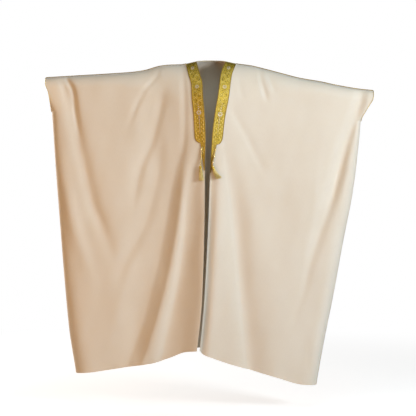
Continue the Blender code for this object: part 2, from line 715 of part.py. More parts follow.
def build_tassel(side, path):
    """Tassel on the end of a cord, leaning as it hangs, just clear of the cord's end."""
    points, faces = tassel_shape(side)
    lean = TASSEL_LEAN[side]
    hangs = np.array([math.sin(lean), 0.0, -math.cos(lean)])
    along = (path[-1] - path[-2]) / np.linalg.norm(path[-1] - path[-2])
    tilt = math.sqrt(1.0 - min(1.0, float(np.dot(along, hangs))) ** 2)
    start = path[-1] + along * (KNOT_GAP + HEAD_RADIUS * HEAD_PROFILE[0][1] * tilt)
    turned = []
    for x, y, z in points:
        turned.append((start[0] + x * math.cos(lean) - z * math.sin(lean), start[1] + y,
                       start[2] + x * math.sin(lean) + z * math.cos(lean)))
    build_mesh("tassel_" + side, turned, faces, "gold")


def main():
    """Build every piece of the cloak."""
    clear_scene()
    back = back_cloth()
    add_wall("back", back[0], back[0] - back[1] * CLOTH_WALL, "cloth")
    build_neck_band(back)
    for side in (RIGHT, LEFT):
        front = front_cloth(side)
        add_wall("front_" + side, front[0], front[0] - front[1] * CLOTH_WALL, "cloth")
        build_front_band(side, front)
        build_braid(side)
        build_edging(side, front, back)
        path = cord_path(side, front)
        build_cord(side, path)
        build_tassel(side, path)


main()
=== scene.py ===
"""Looks of a wide open-front cloak with a gold neck band, corded tassels and hand slits.

Metres, +Z up. The origin lies on the shoulder line, in the middle of the neck, and the
front faces -Y. "Right" and "left" are those of the cloak as worn: right is at -X.
"""
import sys

import logging
import math
from dataclasses import dataclass
from enum import Enum
from typing import Any, Iterable, NamedTuple, Sequence

import bpy
import numpy as np
from bpy.types import ID, Material, Mesh, Node, NodeSocket, NodeTree, Object
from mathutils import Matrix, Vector


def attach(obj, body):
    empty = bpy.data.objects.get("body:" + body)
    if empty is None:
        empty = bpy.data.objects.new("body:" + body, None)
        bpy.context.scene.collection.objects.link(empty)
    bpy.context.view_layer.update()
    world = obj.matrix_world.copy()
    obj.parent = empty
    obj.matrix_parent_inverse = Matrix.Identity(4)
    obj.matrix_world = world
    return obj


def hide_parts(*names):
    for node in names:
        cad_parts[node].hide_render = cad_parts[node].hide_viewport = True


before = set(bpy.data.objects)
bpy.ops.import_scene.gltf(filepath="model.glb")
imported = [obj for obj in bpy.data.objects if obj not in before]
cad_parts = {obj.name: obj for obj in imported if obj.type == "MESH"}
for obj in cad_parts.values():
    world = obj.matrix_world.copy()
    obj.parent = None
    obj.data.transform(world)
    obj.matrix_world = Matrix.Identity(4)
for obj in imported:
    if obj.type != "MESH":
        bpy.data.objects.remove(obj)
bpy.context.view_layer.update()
LOG = logging.getLogger("cloak")
TAU = 2.0 * math.pi
QUARTER = math.radians(90.0)
Array = np.ndarray
Triple = tuple[float, float, float]


class Side(Enum):
    """Sides of the cloak, as worn."""

    RIGHT = "right"
    LEFT = "left"

    @property
    def sign(self) -> float:
        """-1 on the right and +1 on the left."""
        return -1.0 if self is Side.RIGHT else 1.0


class PanelName(Enum):
    """The three cut panels of cloth, by their node's names."""

    BACK = "back"
    FRONT_RIGHT = "front_right"
    FRONT_LEFT = "front_left"

    @staticmethod
    def front(side: Side) -> "PanelName":
        """Name of the front on one side."""
        return PanelName("front_" + side.value)


class Slot(Enum):
    """Material slots of the record."""

    CLOTH = "cloth"
    BAND = "gold_band"
    BRAID = "gold_braid"
    CORD = "gold_cord"
    TASSEL = "gold_tassel"


# Outline of the worn cloak seen from the front, as in the part


class Place(NamedTuple):
    """A place seen from the front."""

    x: float
    z: float


def table(kind: Any, *thousandths: float) -> tuple[Any, ...]:
    """A table's rows from their numbers in thousandths (millimetres), row after row."""
    numbers = iter([value / 1000.0 for value in thousandths])
    return tuple(kind(*row) for row in zip(*[numbers] * len(kind._fields)))


def places(*millimetres: float) -> tuple[Place, ...]:
    """Places from pairs of x and z in millimetres."""
    return table(Place, *millimetres)


SHOULDER_LINE = {
    Side.RIGHT: places(
        -742, -65, -590, -56, -454, -48, -355, -41, -298, -33, -225, -13, -180, -8, -135, -7,
        -109, -3, -61, 8),
    Side.LEFT: places(
        738, -123, 678, -117, 577, -100, 497, -83, 409, -68, 318, -45, 242, -25, 183, -11,
        123, -3, 70, 8),
}
SIDE_EDGE = {
    Side.RIGHT: places(
        -742, -65, -740, -95, -727, -130, -719, -185, -714, -250, -699, -479, -682, -708,
        -661, -981, -640, -1208, -610, -1402),
    Side.LEFT: places(
        738, -123, 733, -161, 719, -186, 699, -219, 684, -250, 679, -313, 652, -554,
        602, -822, 557, -1070, 521, -1250, 485, -1455),
}
FRONT_EDGE = {
    Side.RIGHT: places(
        -61, 8, -45, -52, -33, -95, -31, -145, -24, -227, -19, -334, -23, -484, -25, -708,
        -36, -1060, -60, -1300),
    Side.LEFT: places(
        70, 8, 48, -52, 34, -154, 20, -236, 9, -334, 1, -493, -7, -708, -25, -1060,
        -47, -1300),
}
FRONT_HEM = {
    Side.RIGHT: places(
        -610, -1402, -532, -1394, -418, -1377, -315, -1359, -250, -1347, -180, -1323,
        -110, -1294, -60, -1287),
    Side.LEFT: places(
        485, -1455, 413, -1449, 292, -1413, 172, -1378, 86, -1351, 14, -1324, -34, -1303,
        -47, -1288),
}
BACK_HEM = places(
    -610, -1402, -418, -1374, -200, -1330, -40, -1306, 120, -1326, 330, -1405, 485, -1455)


class Section(NamedTuple):
    """Depth of a worn panel at a share of the way from side edge to middle."""

    across: float
    depth_top: float
    depth_hem: float
    shoulder_drop: float


FRONT_SECTIONS = table(
    Section,
    0, 44, 56, 50, 300, 58, 78, 56, 520, 66, 88, 72,
    700, 83, 102, 120, 860, 107, 120, 180, 1000, 132, 150, 200)
BACK_SECTIONS = table(
    Section,
    0, 44, 56, 50, 300, 54, 78, 56, 520, 66, 94, 68,
    700, 94, 116, 105, 860, 114, 134, 150, 1000, 120, 142, 170)


class Fold(NamedTuple):
    """A large fold through three places; a positive depth sinks it inwards."""

    depth_mid: float
    depth_foot: float
    width: float
    places: tuple[Place, ...]


def fold(middle: float, foot: float, width: float, *way: float) -> Fold:
    """A fold from millimetres: depth in the middle and at its foot, width, and its places."""
    return Fold(middle / 1000.0, foot / 1000.0, width / 1000.0, places(*way))


BACK, FRONT_RIGHT, FRONT_LEFT = PanelName.BACK, PanelName.FRONT_RIGHT, PanelName.FRONT_LEFT
FOLDS = {
    FRONT_RIGHT: (
        fold(-12, 0, 36, -700, -280, -625, -680, -500, -1080),
    ),
    FRONT_LEFT: (
        fold(17, 11, 48, 62, -270, 130, -800, 185, -1460),
        fold(13, 0, 36, 660, -150, 555, -560, 320, -1250),
        fold(-3, -5, 40, 640, -450, 545, -900, 440, -1480),
        fold(-3, -5, 50, 270, -450, 270, -850, 280, -1440),
    ),
    BACK: (
        fold(12, 0, 28, -650, -80, -590, -340, -400, -900),
        fold(8, 0, 32, -240, -100, -310, -500, -390, -1000),
        fold(17, 22, 36, -150, -320, -225, -820, -335, -1450),
        fold(-10, -14, 34, -85, -360, -130, -800, -215, -1450),
        fold(9, 15, 32, -20, -300, -30, -800, -70, -1450),
        fold(-8, -12, 34, 50, -360, 60, -800, 45, -1450),
        fold(14, 20, 34, 140, -320, 180, -820, 190, -1450),
        fold(8, 0, 34, 250, -120, 300, -500, 330, -1000),
        fold(12, 0, 28, 655, -150, 560, -460, 330, -1000),
        fold(6, 12, 38, -500, -750, -480, -1100, -460, -1450),
        fold(7, 14, 36, 420, -850, 370, -1150, 350, -1500),
    ),
}


class Wave(NamedTuple):
    """Slow waves across a panel, which grow towards the hem."""

    count: float
    phase: float
    height: float


WAVES = {
    FRONT_RIGHT: Wave(3.5, 0.8, 0.003),
    FRONT_LEFT: Wave(3.2, 2.3, 0.0015),
    BACK: Wave(7.5, 1.1, 0.004),
}


class Crease(NamedTuple):
    """A fine crease over the large folds: a trough, or a ridge where its depth is negative."""

    depth: float
    reach_low: float
    reach_high: float
    places: tuple[Place, ...]


def crease(depth: float, low: float, high: float, *way: float) -> Crease:
    """A crease from millimetres: depth, reach towards -X and +X, and its places."""
    return Crease(depth / 1000.0, low / 1000.0, high / 1000.0, places(*way))


CREASES = {
    FRONT_RIGHT: (
        crease(5, 8, 8, -705, 100, -676, -68, -660, -109, -653, -136, -650, -185),
        crease(9, 12, 12, -690, 160, -645, -73, -622, -109, -611, -154, -607, -200, -598, -272,
            -580, -370),
        crease(12, 34, 30, -690, 160, -650, -80, -622, -209, -594, -345, -562, -481, -532, -617,
            -480, -754, -420, -950),
        crease(8, 50, 100, -235, 60, -262, -209, -278, -345, -310, -560),
        crease(4.2, 16, 10, -215, 120, -234, -50, -293, -127, -338, -218, -375, -320),
        crease(7.5, 30, 20, -190, -50, -258, -345, -313, -481, -360, -720),
        crease(8.5, 46, 28, -215, -240, -235, -481, -263, -617, -308, -754, -378, -890, -450,
            -1080),
        crease(3.4, 16, 13, -135, 120, -120, -60, -112, -209, -116, -345, -138, -481),
        crease(21.5, 110, 42, -125, -220, -134, -345, -163, -481, -184, -617, -208, -754, -236,
            -890, -270, -1026, -306, -1162, -350, -1276, -540, -1750),
        crease(-10, 20, 36, -84, -220, -90, -345, -114, -481, -126, -617, -145, -754, -170, -890,
            -200, -1026, -238, -1162, -275, -1276, -450, -1750),
        crease(12, 26, 55, -62, -330, -78, -500, -98, -617, -107, -754, -125, -890, -146, -1026,
            -177, -1162, -200, -1276, -340, -1750),
        crease(1.2, 30, 30, -420, -60, -436, -140, -470, -260),
        crease(-8, 34, 34, -19, -350, -23, -484, -25, -708, -36, -1060, -60, -1300, -110, -1750),
    ),
    FRONT_LEFT: (
        crease(7, 10, 13, 222, 20, 228, -75, 240, -120, 262, -190),
        crease(4, 10, 14, 263, -20, 272, -80, 296, -150),
        crease(3, 16, 24, 86, -160, 118, -250, 157, -318, 262, -530),
        crease(4.5, 14, 45, 58, -220, 74, -420, 98, -617, 112, -754, 126, -890, 138, -1026, 150,
            -1162, 215, -1750),
        crease(26, 10, 28, 4, -300, 1, -493, -7, -708, -25, -1060, -47, -1300, -90, -1750),
        crease(16, 30, 20, 700, 100, 690, -100, 667, -230, 631, -322, 599, -436, 572, -549, 520,
            -720),
        crease(3, 20, 18, 668, -160, 622, -345, 582, -481, 555, -617, 505, -754, 459, -890, 424,
            -1026, 375, -1162, 320, -1300),
        crease(2, 14, 14, 452, -1240, 447, -1330, 435, -1600),
        crease(-1.5, 22, 20, 500, -360, 468, -640, 420, -930, 372, -1180),
        crease(3, 12, 16, 128, -60, 134, -110, 150, -180),
    ),
    BACK: (
        crease(3.5, 10, 18, -665, -75, -640, -140, -596, -300, -500, -620),
        crease(4, 18, 10, -236, -30, -270, -150, -318, -420, -372, -800),
        crease(3.5, 12, 9, -150, -20, -166, -110, -200, -240),
        crease(4.5, 18, 10, -140, -300, -196, -620, -262, -1000, -335, -1420),
        crease(3, 12, 18, -24, -220, -34, -560, -50, -1000, -76, -1400),
        crease(-3, 14, 12, 46, -320, 58, -700, 56, -1100, 44, -1420),
        crease(4, 10, 17, 124, -260, 164, -600, 190, -1000, 196, -1420),
        crease(3.5, 10, 16, 236, -40, 270, -180, 312, -480, 336, -860),
        crease(4, 16, 10, 690, -140, 648, -260, 560, -480, 430, -820),
        crease(2.5, 14, 20, -420, -420, -424, -700, -410, -1050),
        crease(-2.5, 20, 14, 440, -420, 420, -700, 392, -1060),
    ),
}
CREASE_FADE = 0.28


class Ripple(NamedTuple):
    """A faint unevenness of worn cloth: lengths along X and Z, and its height."""

    along_x: float
    along_z: float
    phase: float
    height: float


RIPPLES = (
    Ripple(0.290, 0.830, 0.4, 0.0008),
    Ripple(0.170, -0.610, 2.1, 0.0005),
    Ripple(0.104, 0.370, 4.4, 0.0003),
    Ripple(-0.071, 0.260, 1.3, 0.0002),
)


# Curves and grids


def between(first: Any, last: Any, share: Any) -> Any:
    """What lies at a share of the way from the first to the last."""
    return first + (last - first) * share


def ease(share: Array) -> Array:
    """Smooth step from 0 to 1, over shares from 0 to 1."""
    share = np.clip(share, 0.0, 1.0)
    return share * share * (3.0 - 2.0 * share)


def smooth(at: Any, knots: Sequence[float], values: Sequence[float]) -> Array:
    """Smooth curve through a table's values, with no overshoot between them.

    Args:
        at: Where the curve is read.
        knots: Where the table gives values, in any order.
        values: The table's values.

    Returns:
        The curve's values at those places.
    """
    order = np.argsort(knots)
    knots = np.asarray(knots, float)[order]
    values = np.asarray(values, float)[order]
    gaps = np.diff(knots)
    slopes = np.diff(values) / gaps
    tangents = np.concatenate(([slopes[0]], np.zeros(len(slopes) - 1), [slopes[-1]]))
    for place in range(1, len(slopes)):
        before, after = slopes[place - 1], slopes[place]
        if before * after > 0:
            tangents[place] = 2.0 * before * after / (before + after)
    at = np.clip(at, knots[0], knots[-1])
    cell = np.clip(np.searchsorted(knots, at) - 1, 0, len(gaps) - 1)
    share = (at - knots[cell]) / gaps[cell]
    rest = 1.0 - share
    return (values[cell] * (1.0 + 2.0 * share) * rest ** 2
            + tangents[cell] * gaps[cell] * share * rest ** 2
            + values[cell + 1] * share ** 2 * (3.0 - 2.0 * share)
            - tangents[cell + 1] * gaps[cell] * share ** 2 * rest)


def height_at(edge: Sequence[Place], x: Any) -> Array:
    """Height of an edge that runs sideways, at x."""
    return smooth(x, [place.x for place in edge], [place.z for place in edge])


def side_at(edge: Sequence[Place], z: Any) -> Array:
    """Sideways place of an edge that runs downwards, at z."""
    return smooth(z, [place.z for place in edge], [place.x for place in edge])


def unit(vectors: Array) -> Array:
    """Vectors scaled to length 1 along their last axis."""
    return vectors / np.maximum(np.linalg.norm(vectors, axis=-1, keepdims=True), 1e-12)


def read_grid(grid: Array, row: Any, column: Any) -> Array:
    """Read a grid of points between its rows and columns.

    Args:
        grid: Rows by columns by values.
        row: Row numbers, which may lie between two rows.
        column: Column numbers of the same shape.

    Returns:
        The values there.
    """
    row = np.clip(np.asarray(row, float), 0.0, grid.shape[0] - 1.0)
    column = np.clip(np.asarray(column, float), 0.0, grid.shape[1] - 1.0)
    r = np.minimum(row.astype(int), grid.shape[0] - 2)
    c = np.minimum(column.astype(int), grid.shape[1] - 2)
    dr, dc = (row - r)[..., None], (column - c)[..., None]
    return ((grid[r, c] * (1 - dc) + grid[r, c + 1] * dc) * (1 - dr)
            + (grid[r + 1, c] * (1 - dc) + grid[r + 1, c + 1] * dc) * dr)


def travelled(points: Array) -> Array:
    """Length of a line of points up to each of them."""
    return np.concatenate([[0.0], np.cumsum(np.linalg.norm(np.diff(points, axis=0), axis=1))])


def walk(points: Array, spacing: float) -> Array:
    """Numbers of evenly spaced places along a line of points.

    Args:
        points: The line, one row for each point.
        spacing: Distance between two places, in metres.

    Returns:
        Fractional point numbers, first and last included.
    """
    lengths = travelled(points)
    count = max(2, int(round(lengths[-1] / spacing)) + 1)
    return np.interp(np.linspace(0.0, lengths[-1], count), lengths, np.arange(len(points)))


def along_line(points: Array, numbers: Array) -> Array:
    """Read a line of points at fractional point numbers.

    Args:
        points: The line, one row for each point.
        numbers: Point numbers, which may lie between two points.

    Returns:
        The places there.
    """
    order = np.arange(len(points))
    return np.stack([np.interp(numbers, order, points[:, axis])
                     for axis in range(points.shape[1])], axis=1)


# Meshes


def add_object(name: str, data: ID, material: Material | None = None) -> Object:
    """Put data in the scene as an object, with a material where one is given.

    Args:
        name: Name of the object.
        data: Its mesh, camera or light.
        material: Its material, if it gets one.

    Returns:
        The object.
    """
    thing = bpy.data.objects.new(name, data)
    bpy.context.scene.collection.objects.link(thing)
    if material is not None:
        data.materials.append(material)
    return thing


def wall_faces(rows: int, columns: int, turned: bool) -> Array:
    """Faces of a closed wall: an outer grid of points, an inner one, and the rim.

    Args:
        rows: Rows of points in each grid.
        columns: Columns of points in each grid.
        turned: Whether all faces are turned.

    Returns:
        Point numbers, one row for each face.
    """
    index = np.arange(rows * columns).reshape(rows, columns)
    outer = np.stack([index[:-1, :-1], index[:-1, 1:], index[1:, 1:], index[1:, :-1]], axis=-1)
    outer = outer.reshape(-1, 4)
    loop = np.concatenate([index[0, :-1], index[:-1, -1], index[-1, :0:-1], index[:0:-1, 0]])
    after, shift = np.roll(loop, -1), rows * columns
    rim = np.stack([after, loop, loop + shift, after + shift], axis=1)
    faces = np.concatenate([outer, (outer + shift)[:, ::-1], rim])
    return faces[:, ::-1] if turned else faces


def finish_mesh(name: str, points: Array, faces: Iterable, uv: Array | None = None,
                sharp_degrees: float = 50.0) -> Mesh:
    """Make a smooth-shaded mesh, with a UV map in metres on the flat cut.

    Args:
        name: Name of the mesh.
        points: One row for each point.
        faces: Point numbers of each face.
        uv: Flat place of each point, where there is a map.
        sharp_degrees: Angle over which an edge stays sharp.

    Returns:
        The mesh.
    """
    mesh = bpy.data.meshes.new(name)
    mesh.from_pydata(np.asarray(points).tolist(), [], [list(face) for face in faces])
    if uv is not None:
        corners = np.empty(len(mesh.loops), dtype=np.int32)
        mesh.loops.foreach_get("vertex_index", corners)
        layer = mesh.uv_layers.new(name="Cut")
        layer.data.foreach_set("uv", np.asarray(uv, np.float32)[corners].ravel())
    mesh.shade_smooth()
    mesh.set_sharp_from_angle(angle=math.radians(sharp_degrees))
    mesh.update()
    return mesh


def wall_object(name: str, outer: Array, inner: Array, outward: Array,
                uv: Array, material: Material) -> Object:
    """Closed wall between two grids of points.

    Args:
        name: Name of the object.
        outer: Grid of the face that shows.
        inner: Grid of the hidden face.
        outward: Grid of directions out of the outer face.
        uv: Flat place of each point of a grid.
        material: Its material.

    Returns:
        The object.
    """
    rows, columns = outer.shape[:2]
    row, column = rows // 2, columns // 2
    down = outer[row + 1, column] - outer[row, column]
    over = outer[row, column + 1] - outer[row, column]
    turned = float(np.dot(np.cross(over, down), outward[row, column])) < 0.0
    points = np.concatenate([outer.reshape(-1, 3), inner.reshape(-1, 3)])
    flat = np.concatenate([uv.reshape(-1, 2)] * 2)
    mesh = finish_mesh(name, points, wall_faces(rows, columns, turned), flat)
    return add_object(name, mesh, material)


# Node trees


@dataclass(frozen=True)
class Wiring:
    """Adds nodes to a shader or geometry tree and joins them."""

    tree: NodeTree

    def add(self, kind: str, inputs: dict[Any, Any] | None = None, **settings: Any) -> Node:
        """Add a node.

        Args:
            kind: The node's type.
            inputs: Value or source socket for each input, by name or number.
            **settings: Properties of the node.

        Returns:
            The node.
        """
        node = self.tree.nodes.new(kind)
        for name, value in settings.items():
            setattr(node, name, value)
        return self.feed(node, inputs or {})

    def feed(self, node: Node, inputs: dict[Any, Any]) -> Node:
        """Give a node's inputs their values or source sockets, and return the node.

        Args:
            node: The node.
            inputs: Value or source socket for each input, by name or number.

        Returns:
            The node.
        """
        for name, value in inputs.items():
            if isinstance(value, NodeSocket):
                self.tree.links.new(value, node.inputs[name])
            else:
                node.inputs[name].default_value = value
        return node

    def math(self, operation: str, first: Any, second: Any = 0.0) -> NodeSocket:
        """Result of a math node."""
        return self.add("ShaderNodeMath", {0: first, 1: second}, operation=operation).outputs[0]

    def vector(self, operation: str, first: Any, second: Any = None) -> NodeSocket:
        """Result of a vector math node, whose second input for SCALE is a number.

        Args:
            operation: What the node does.
            first: Its first value or source socket.
            second: Its second one, if it takes one.

        Returns:
            The result's socket.
        """
        inputs = {0: first} if second is None else {
            0: first, "Scale" if operation == "SCALE" else 1: second}
        return self.add("ShaderNodeVectorMath", inputs, operation=operation).outputs[0]

    def noise(self, place: Any, scale: float, detail: float) -> Node:
        """A noise texture."""
        return self.add("ShaderNodeTexNoise", {"Vector": place, "Scale": scale, "Detail": detail})

    def object_place(self) -> NodeSocket:
        """Place of the shaded point in the object's own axes."""
        return self.add("ShaderNodeTexCoord").outputs["Object"]

    def ramp(self, factor: Any, low: float, high: float) -> NodeSocket:
        """A factor stretched so that low becomes 0 and high becomes 1."""
        return self.add("ShaderNodeMapRange", {0: factor, 1: low, 2: high},
                        interpolation_type="SMOOTHSTEP").outputs[0]

    def attribute(self, name: str, kind: str = "FLOAT_VECTOR") -> NodeSocket:
        """A named attribute of the points."""
        return self.add("GeometryNodeInputNamedAttribute", {"Name": name},
                        data_type=kind).outputs[0]

    def tube(self, line: Node, sides: Any, radius: Any) -> NodeSocket:
        """A round tube with closed ends along a curve.

        Args:
            line: Node that gives the curve.
            sides: Points round the tube.
            radius: Its radius.

        Returns:
            The tube's socket.
        """
        ring = self.add("GeometryNodeCurvePrimitiveCircle", {"Resolution": sides, "Radius": 1.0})
        return self.add("GeometryNodeCurveToMesh",
                        {"Curve": line.outputs[0], "Profile Curve": ring.outputs[0],
                         "Scale": radius, "Fill Caps": True}).outputs[0]


class TreeInput(NamedTuple):
    """A named input of a geometry tree, and the last word of its socket's type."""

    name: str
    kind: str

    @property
    def socket(self) -> str:
        """Type of the input's socket."""
        return "NodeSocket" + self.kind


GEOMETRY = TreeInput("Geometry", "Geometry")
MATERIAL = TreeInput("Material", "Material")


@dataclass(frozen=True)
class GrowingTree:
    """Base of the geometry trees: named inputs, and an end that realizes and dresses."""

    name: str
    takes: tuple[TreeInput, ...]  # named inputs besides the geometry and the material

    def grown(self, wiring: Wiring, given: Node) -> NodeSocket:
        """Geometry that this tree makes from its inputs."""
        return given.outputs[GEOMETRY.name]

    def tree(self) -> NodeTree:
        """Build the tree, or find it if it was built before.

        Returns:
            The tree.
        """
        found = bpy.data.node_groups.get(self.name)
        if found is not None:
            return found
        tree = bpy.data.node_groups.new(self.name, "GeometryNodeTree")
        for item in (GEOMETRY, *self.takes, MATERIAL):
            tree.interface.new_socket(name=item.name, in_out="INPUT", socket_type=item.socket)
        tree.interface.new_socket(name=GEOMETRY.name, in_out="OUTPUT", socket_type=GEOMETRY.socket)
        wiring = Wiring(tree)
        given = wiring.add("NodeGroupInput")
        made = self.grown(wiring, given)
        for kind in ("SetShadeSmooth", "RealizeInstances", "SetMaterial"):
            node = wiring.add("GeometryNode" + kind, {GEOMETRY.name: made})
            made = node.outputs[0]
        wiring.feed(node, {MATERIAL.name: given.outputs[MATERIAL.name]})
        wiring.add("NodeGroupOutput", {GEOMETRY.name: made})
        return tree

    def grow(self, name: str, seed: Mesh, values: dict[str, Any]) -> Object:
        """Run the tree on a seed mesh and keep the result as a plain mesh.

        Args:
            name: Name of the object that is kept.
            seed: Mesh that the tree starts from.
            values: Value of each named input.

        Returns:
            The object, with no modifier.
        """
        source = add_object(name + "_seed", seed)
        tree = self.tree()
        modifier = source.modifiers.new("grow", "NODES")
        modifier.node_group = tree
        for item in tree.interface.items_tree:
            if item.item_type == "SOCKET" and item.in_out == "INPUT" and item.name in values:
                modifier[item.identifier] = values[item.name]
        graph = bpy.context.evaluated_depsgraph_get()
        mesh = bpy.data.meshes.new_from_object(source.evaluated_get(graph), depsgraph=graph)
        mesh.name = name
        bpy.data.objects.remove(source, do_unlink=True)
        for field in ("along", "up", "size"):
            if field in mesh.attributes:
                mesh.attributes.remove(mesh.attributes[field])
        return add_object(name, mesh)


@dataclass(frozen=True)
class ThreadTree(GrowingTree):
    """Sweeps a round thread along each chain of edges; the points hold its radius."""

    name: str = "swept_threads"
    takes: tuple[TreeInput, ...] = (TreeInput("Sides", "Int"),)

    def grown(self, wiring: Wiring, given: Node) -> NodeSocket:
        """Threads as tubes with closed ends.

        Args:
            wiring: Adds the nodes.
            given: Node that gives the inputs.

        Returns:
            The threads' socket.
        """
        line = wiring.add("GeometryNodeMeshToCurve", {"Mesh": given.outputs["Geometry"]})
        radius = wiring.attribute("radius", "FLOAT")
        return wiring.tube(line, given.outputs["Sides"], radius)


@dataclass(frozen=True)
class PlyTree(GrowingTree):
    """Lays plies round a path, from the fields of Plies and the way up at its points."""

    name: str = "twisted_plies"
    takes: tuple[TreeInput, ...] = (
        TreeInput("plies", "Int"), TreeInput("pitch", "Float"), TreeInput("half_width", "Float"),
        TreeInput("half_height", "Float"), TreeInput("crossings", "Float"),
        TreeInput("thread", "Float"), TreeInput("sides", "Int"), TreeInput("step", "Float"))

    def grown(self, wiring: Wiring, given: Node) -> NodeSocket:
        """Plies as tubes that turn round the path.

        Args:
            wiring: Adds the nodes.
            given: Node that gives the inputs.

        Returns:
            The plies' socket.
        """
        size = given.outputs
        line = wiring.add("GeometryNodeMeshToCurve", {"Mesh": size["Geometry"]})
        even = wiring.add("GeometryNodeResampleCurve",
                          {"Curve": line.outputs[0], "Length": size["step"]}, mode="LENGTH")
        plies = wiring.add("GeometryNodeDuplicateElements",
                           {"Geometry": even.outputs[0], "Amount": size["plies"]},
                           domain="SPLINE")
        travelled = wiring.add("GeometryNodeSplineParameter").outputs["Length"]
        turns = wiring.math("DIVIDE", travelled, size["pitch"])
        start = wiring.math("DIVIDE", plies.outputs["Duplicate Index"], size["plies"])
        angle = wiring.math("MULTIPLY", wiring.math("ADD", turns, start), TAU)
        crossing = wiring.math("MULTIPLY", angle, size["crossings"])
        tangent = wiring.add("GeometryNodeInputTangent").outputs[0]
        up = wiring.attribute("up")
        side = wiring.vector("NORMALIZE", wiring.vector("CROSS_PRODUCT", tangent, up))
        rise = wiring.vector("CROSS_PRODUCT", side, tangent)
        wide = wiring.math("MULTIPLY", wiring.math("COSINE", angle), size["half_width"])
        high = wiring.math("MULTIPLY", wiring.math("SINE", crossing), size["half_height"])
        offset = wiring.vector("ADD", wiring.vector("SCALE", side, wide),
                               wiring.vector("SCALE", rise, high))
        moved = wiring.add("GeometryNodeSetPosition",
                           {"Geometry": plies.outputs[0], "Offset": offset})
        return wiring.tube(moved, size["sides"], size["thread"])


@dataclass(frozen=True)
class MotifTree(GrowingTree):
    """Sets one small motif on every point, turned along and up as the points say."""

    name: str = "set_motifs"
    takes: tuple[TreeInput, ...] = (TreeInput("Motif", "Object"),)  # of unit length along X

    def grown(self, wiring: Wiring, given: Node) -> NodeSocket:
        """Turned and sized copies of the motif.

        Args:
            wiring: Adds the nodes.
            given: Node that gives the inputs.

        Returns:
            The copies' socket.
        """
        motif = wiring.add("GeometryNodeObjectInfo", {"Object": given.outputs["Motif"]})
        along, up, size = (wiring.attribute(name) for name in ("along", "up", "size"))
        first = wiring.add("FunctionNodeAlignRotationToVector", {"Vector": along}, axis="X")
        turn = wiring.add("FunctionNodeAlignRotationToVector",
                          {"Rotation": first.outputs[0], "Vector": up}, axis="Z", pivot_axis="X")
        copies = wiring.add("GeometryNodeInstanceOnPoints",
                            {"Points": given.outputs["Geometry"],
                             "Instance": motif.outputs["Geometry"],
                             "Rotation": turn.outputs[0], "Scale": size})
        return copies.outputs[0]


def set_field(mesh: Mesh, name: str, values: Any) -> None:
    """Give every point of a mesh a named number or vector.

    Args:
        mesh: The mesh.
        name: Name of the attribute.
        values: A number or vector for each point.
    """
    values = np.asarray(values, np.float32)
    kind, key = ("FLOAT", "value") if values.ndim == 1 else ("FLOAT_VECTOR", "vector")
    mesh.attributes.new(name, kind, "POINT").data.foreach_set(key, values.ravel())


class Mark(NamedTuple):
    """Where one motif goes: its place, direction, way up, and length, width and height."""

    place: Array
    along: Array
    up: Array
    size: Triple


class Motif(Enum):
    """Small sewn shapes, as half widths at shares of a unit length."""

    STITCH = ((-0.50, 0.10), (-0.44, 0.38), (-0.30, 0.50), (0.30, 0.50), (0.44, 0.38),
              (0.50, 0.10))
    LEAF = ((-0.50, 0.05), (-0.38, 0.30), (-0.12, 0.50), (0.14, 0.40), (0.36, 0.17), (0.50, 0.02))
    SEED = ((-0.50, 0.10), (-0.38, 0.34), (-0.14, 0.49), (0.14, 0.49), (0.38, 0.34), (0.50, 0.10))

    def mesh(self, sides: int = 6) -> Mesh:
        """Closed shape of unit length, width and height, round on top.

        Args:
            sides: Points of each ring.

        Returns:
            The mesh.
        """
        angles = TAU * (np.arange(sides) + 0.5) / sides
        points = [(share, half * math.cos(angle), half * math.sin(angle))
                  for share, half in self.value for angle in angles]
        rings = len(self.value)
        faces = []
        for ring in range(rings - 1):
            for index in range(sides):
                here, after = ring * sides + index, ring * sides + (index + 1) % sides
                faces.append((here, after, after + sides, here + sides)[::-1])
        faces.append(tuple(range(sides)))
        faces.append(tuple(range((rings - 1) * sides, rings * sides))[::-1])
        mesh = finish_mesh("motif_" + self.name.lower(), np.array(points), faces)
        mesh.flip_normals()
        return mesh


def sew(name: str, motif: Motif, marks: Sequence[Mark], material: Material) -> Object:
    """Set a motif on every mark.

    Args:
        name: Name of the object.
        motif: The motif's shape.
        marks: Where each copy goes.
        material: Its material.

    Returns:
        One mesh object with every copy.
    """
    seed = bpy.data.meshes.new(name + "_marks")
    seed.from_pydata([list(mark.place) for mark in marks], [], [])
    for field in Mark._fields[1:]:
        set_field(seed, field, [getattr(mark, field) for mark in marks])
    shape = add_object("motif", motif.mesh())
    sewn = MotifTree().grow(name, seed, {"Motif": shape, "Material": material})
    bpy.data.objects.remove(shape, do_unlink=True)
    return sewn


class Chain(NamedTuple):
    """A thread's centre line, the radius at each point, and whether it closes."""

    points: Array
    radii: Array
    closed: bool = False


def chain_mesh(name: str, chains: Sequence[Chain], ups: Sequence[Array] | None = None) -> Mesh:
    """Edges along every chain, for the trees that grow threads on them.

    Args:
        name: Name of the mesh.
        chains: The chains.
        ups: Way up at the points of each chain, where a tree needs it.

    Returns:
        The mesh, whose points hold the radius and the way up.
    """
    points, edges = [], []
    for chain in chains:
        first, count = len(points), len(chain.points)
        points.extend(chain.points.tolist())
        edges.extend((first + index, first + index + 1) for index in range(count - 1))
        if chain.closed:
            edges.append((first + count - 1, first))
    mesh = bpy.data.meshes.new(name)
    mesh.from_pydata(points, edges, [])
    set_field(mesh, "radius", np.concatenate([chain.radii for chain in chains]))
    if ups is not None:
        set_field(mesh, "up", np.concatenate(ups))
    return mesh


def sweep(name: str, chains: Sequence[Chain], material: Material, sides: int = 5) -> Object:
    """Round threads along chains, as one mesh object."""
    values = {"Sides": sides, "Material": material}
    return ThreadTree().grow(name, chain_mesh(name, chains), values)


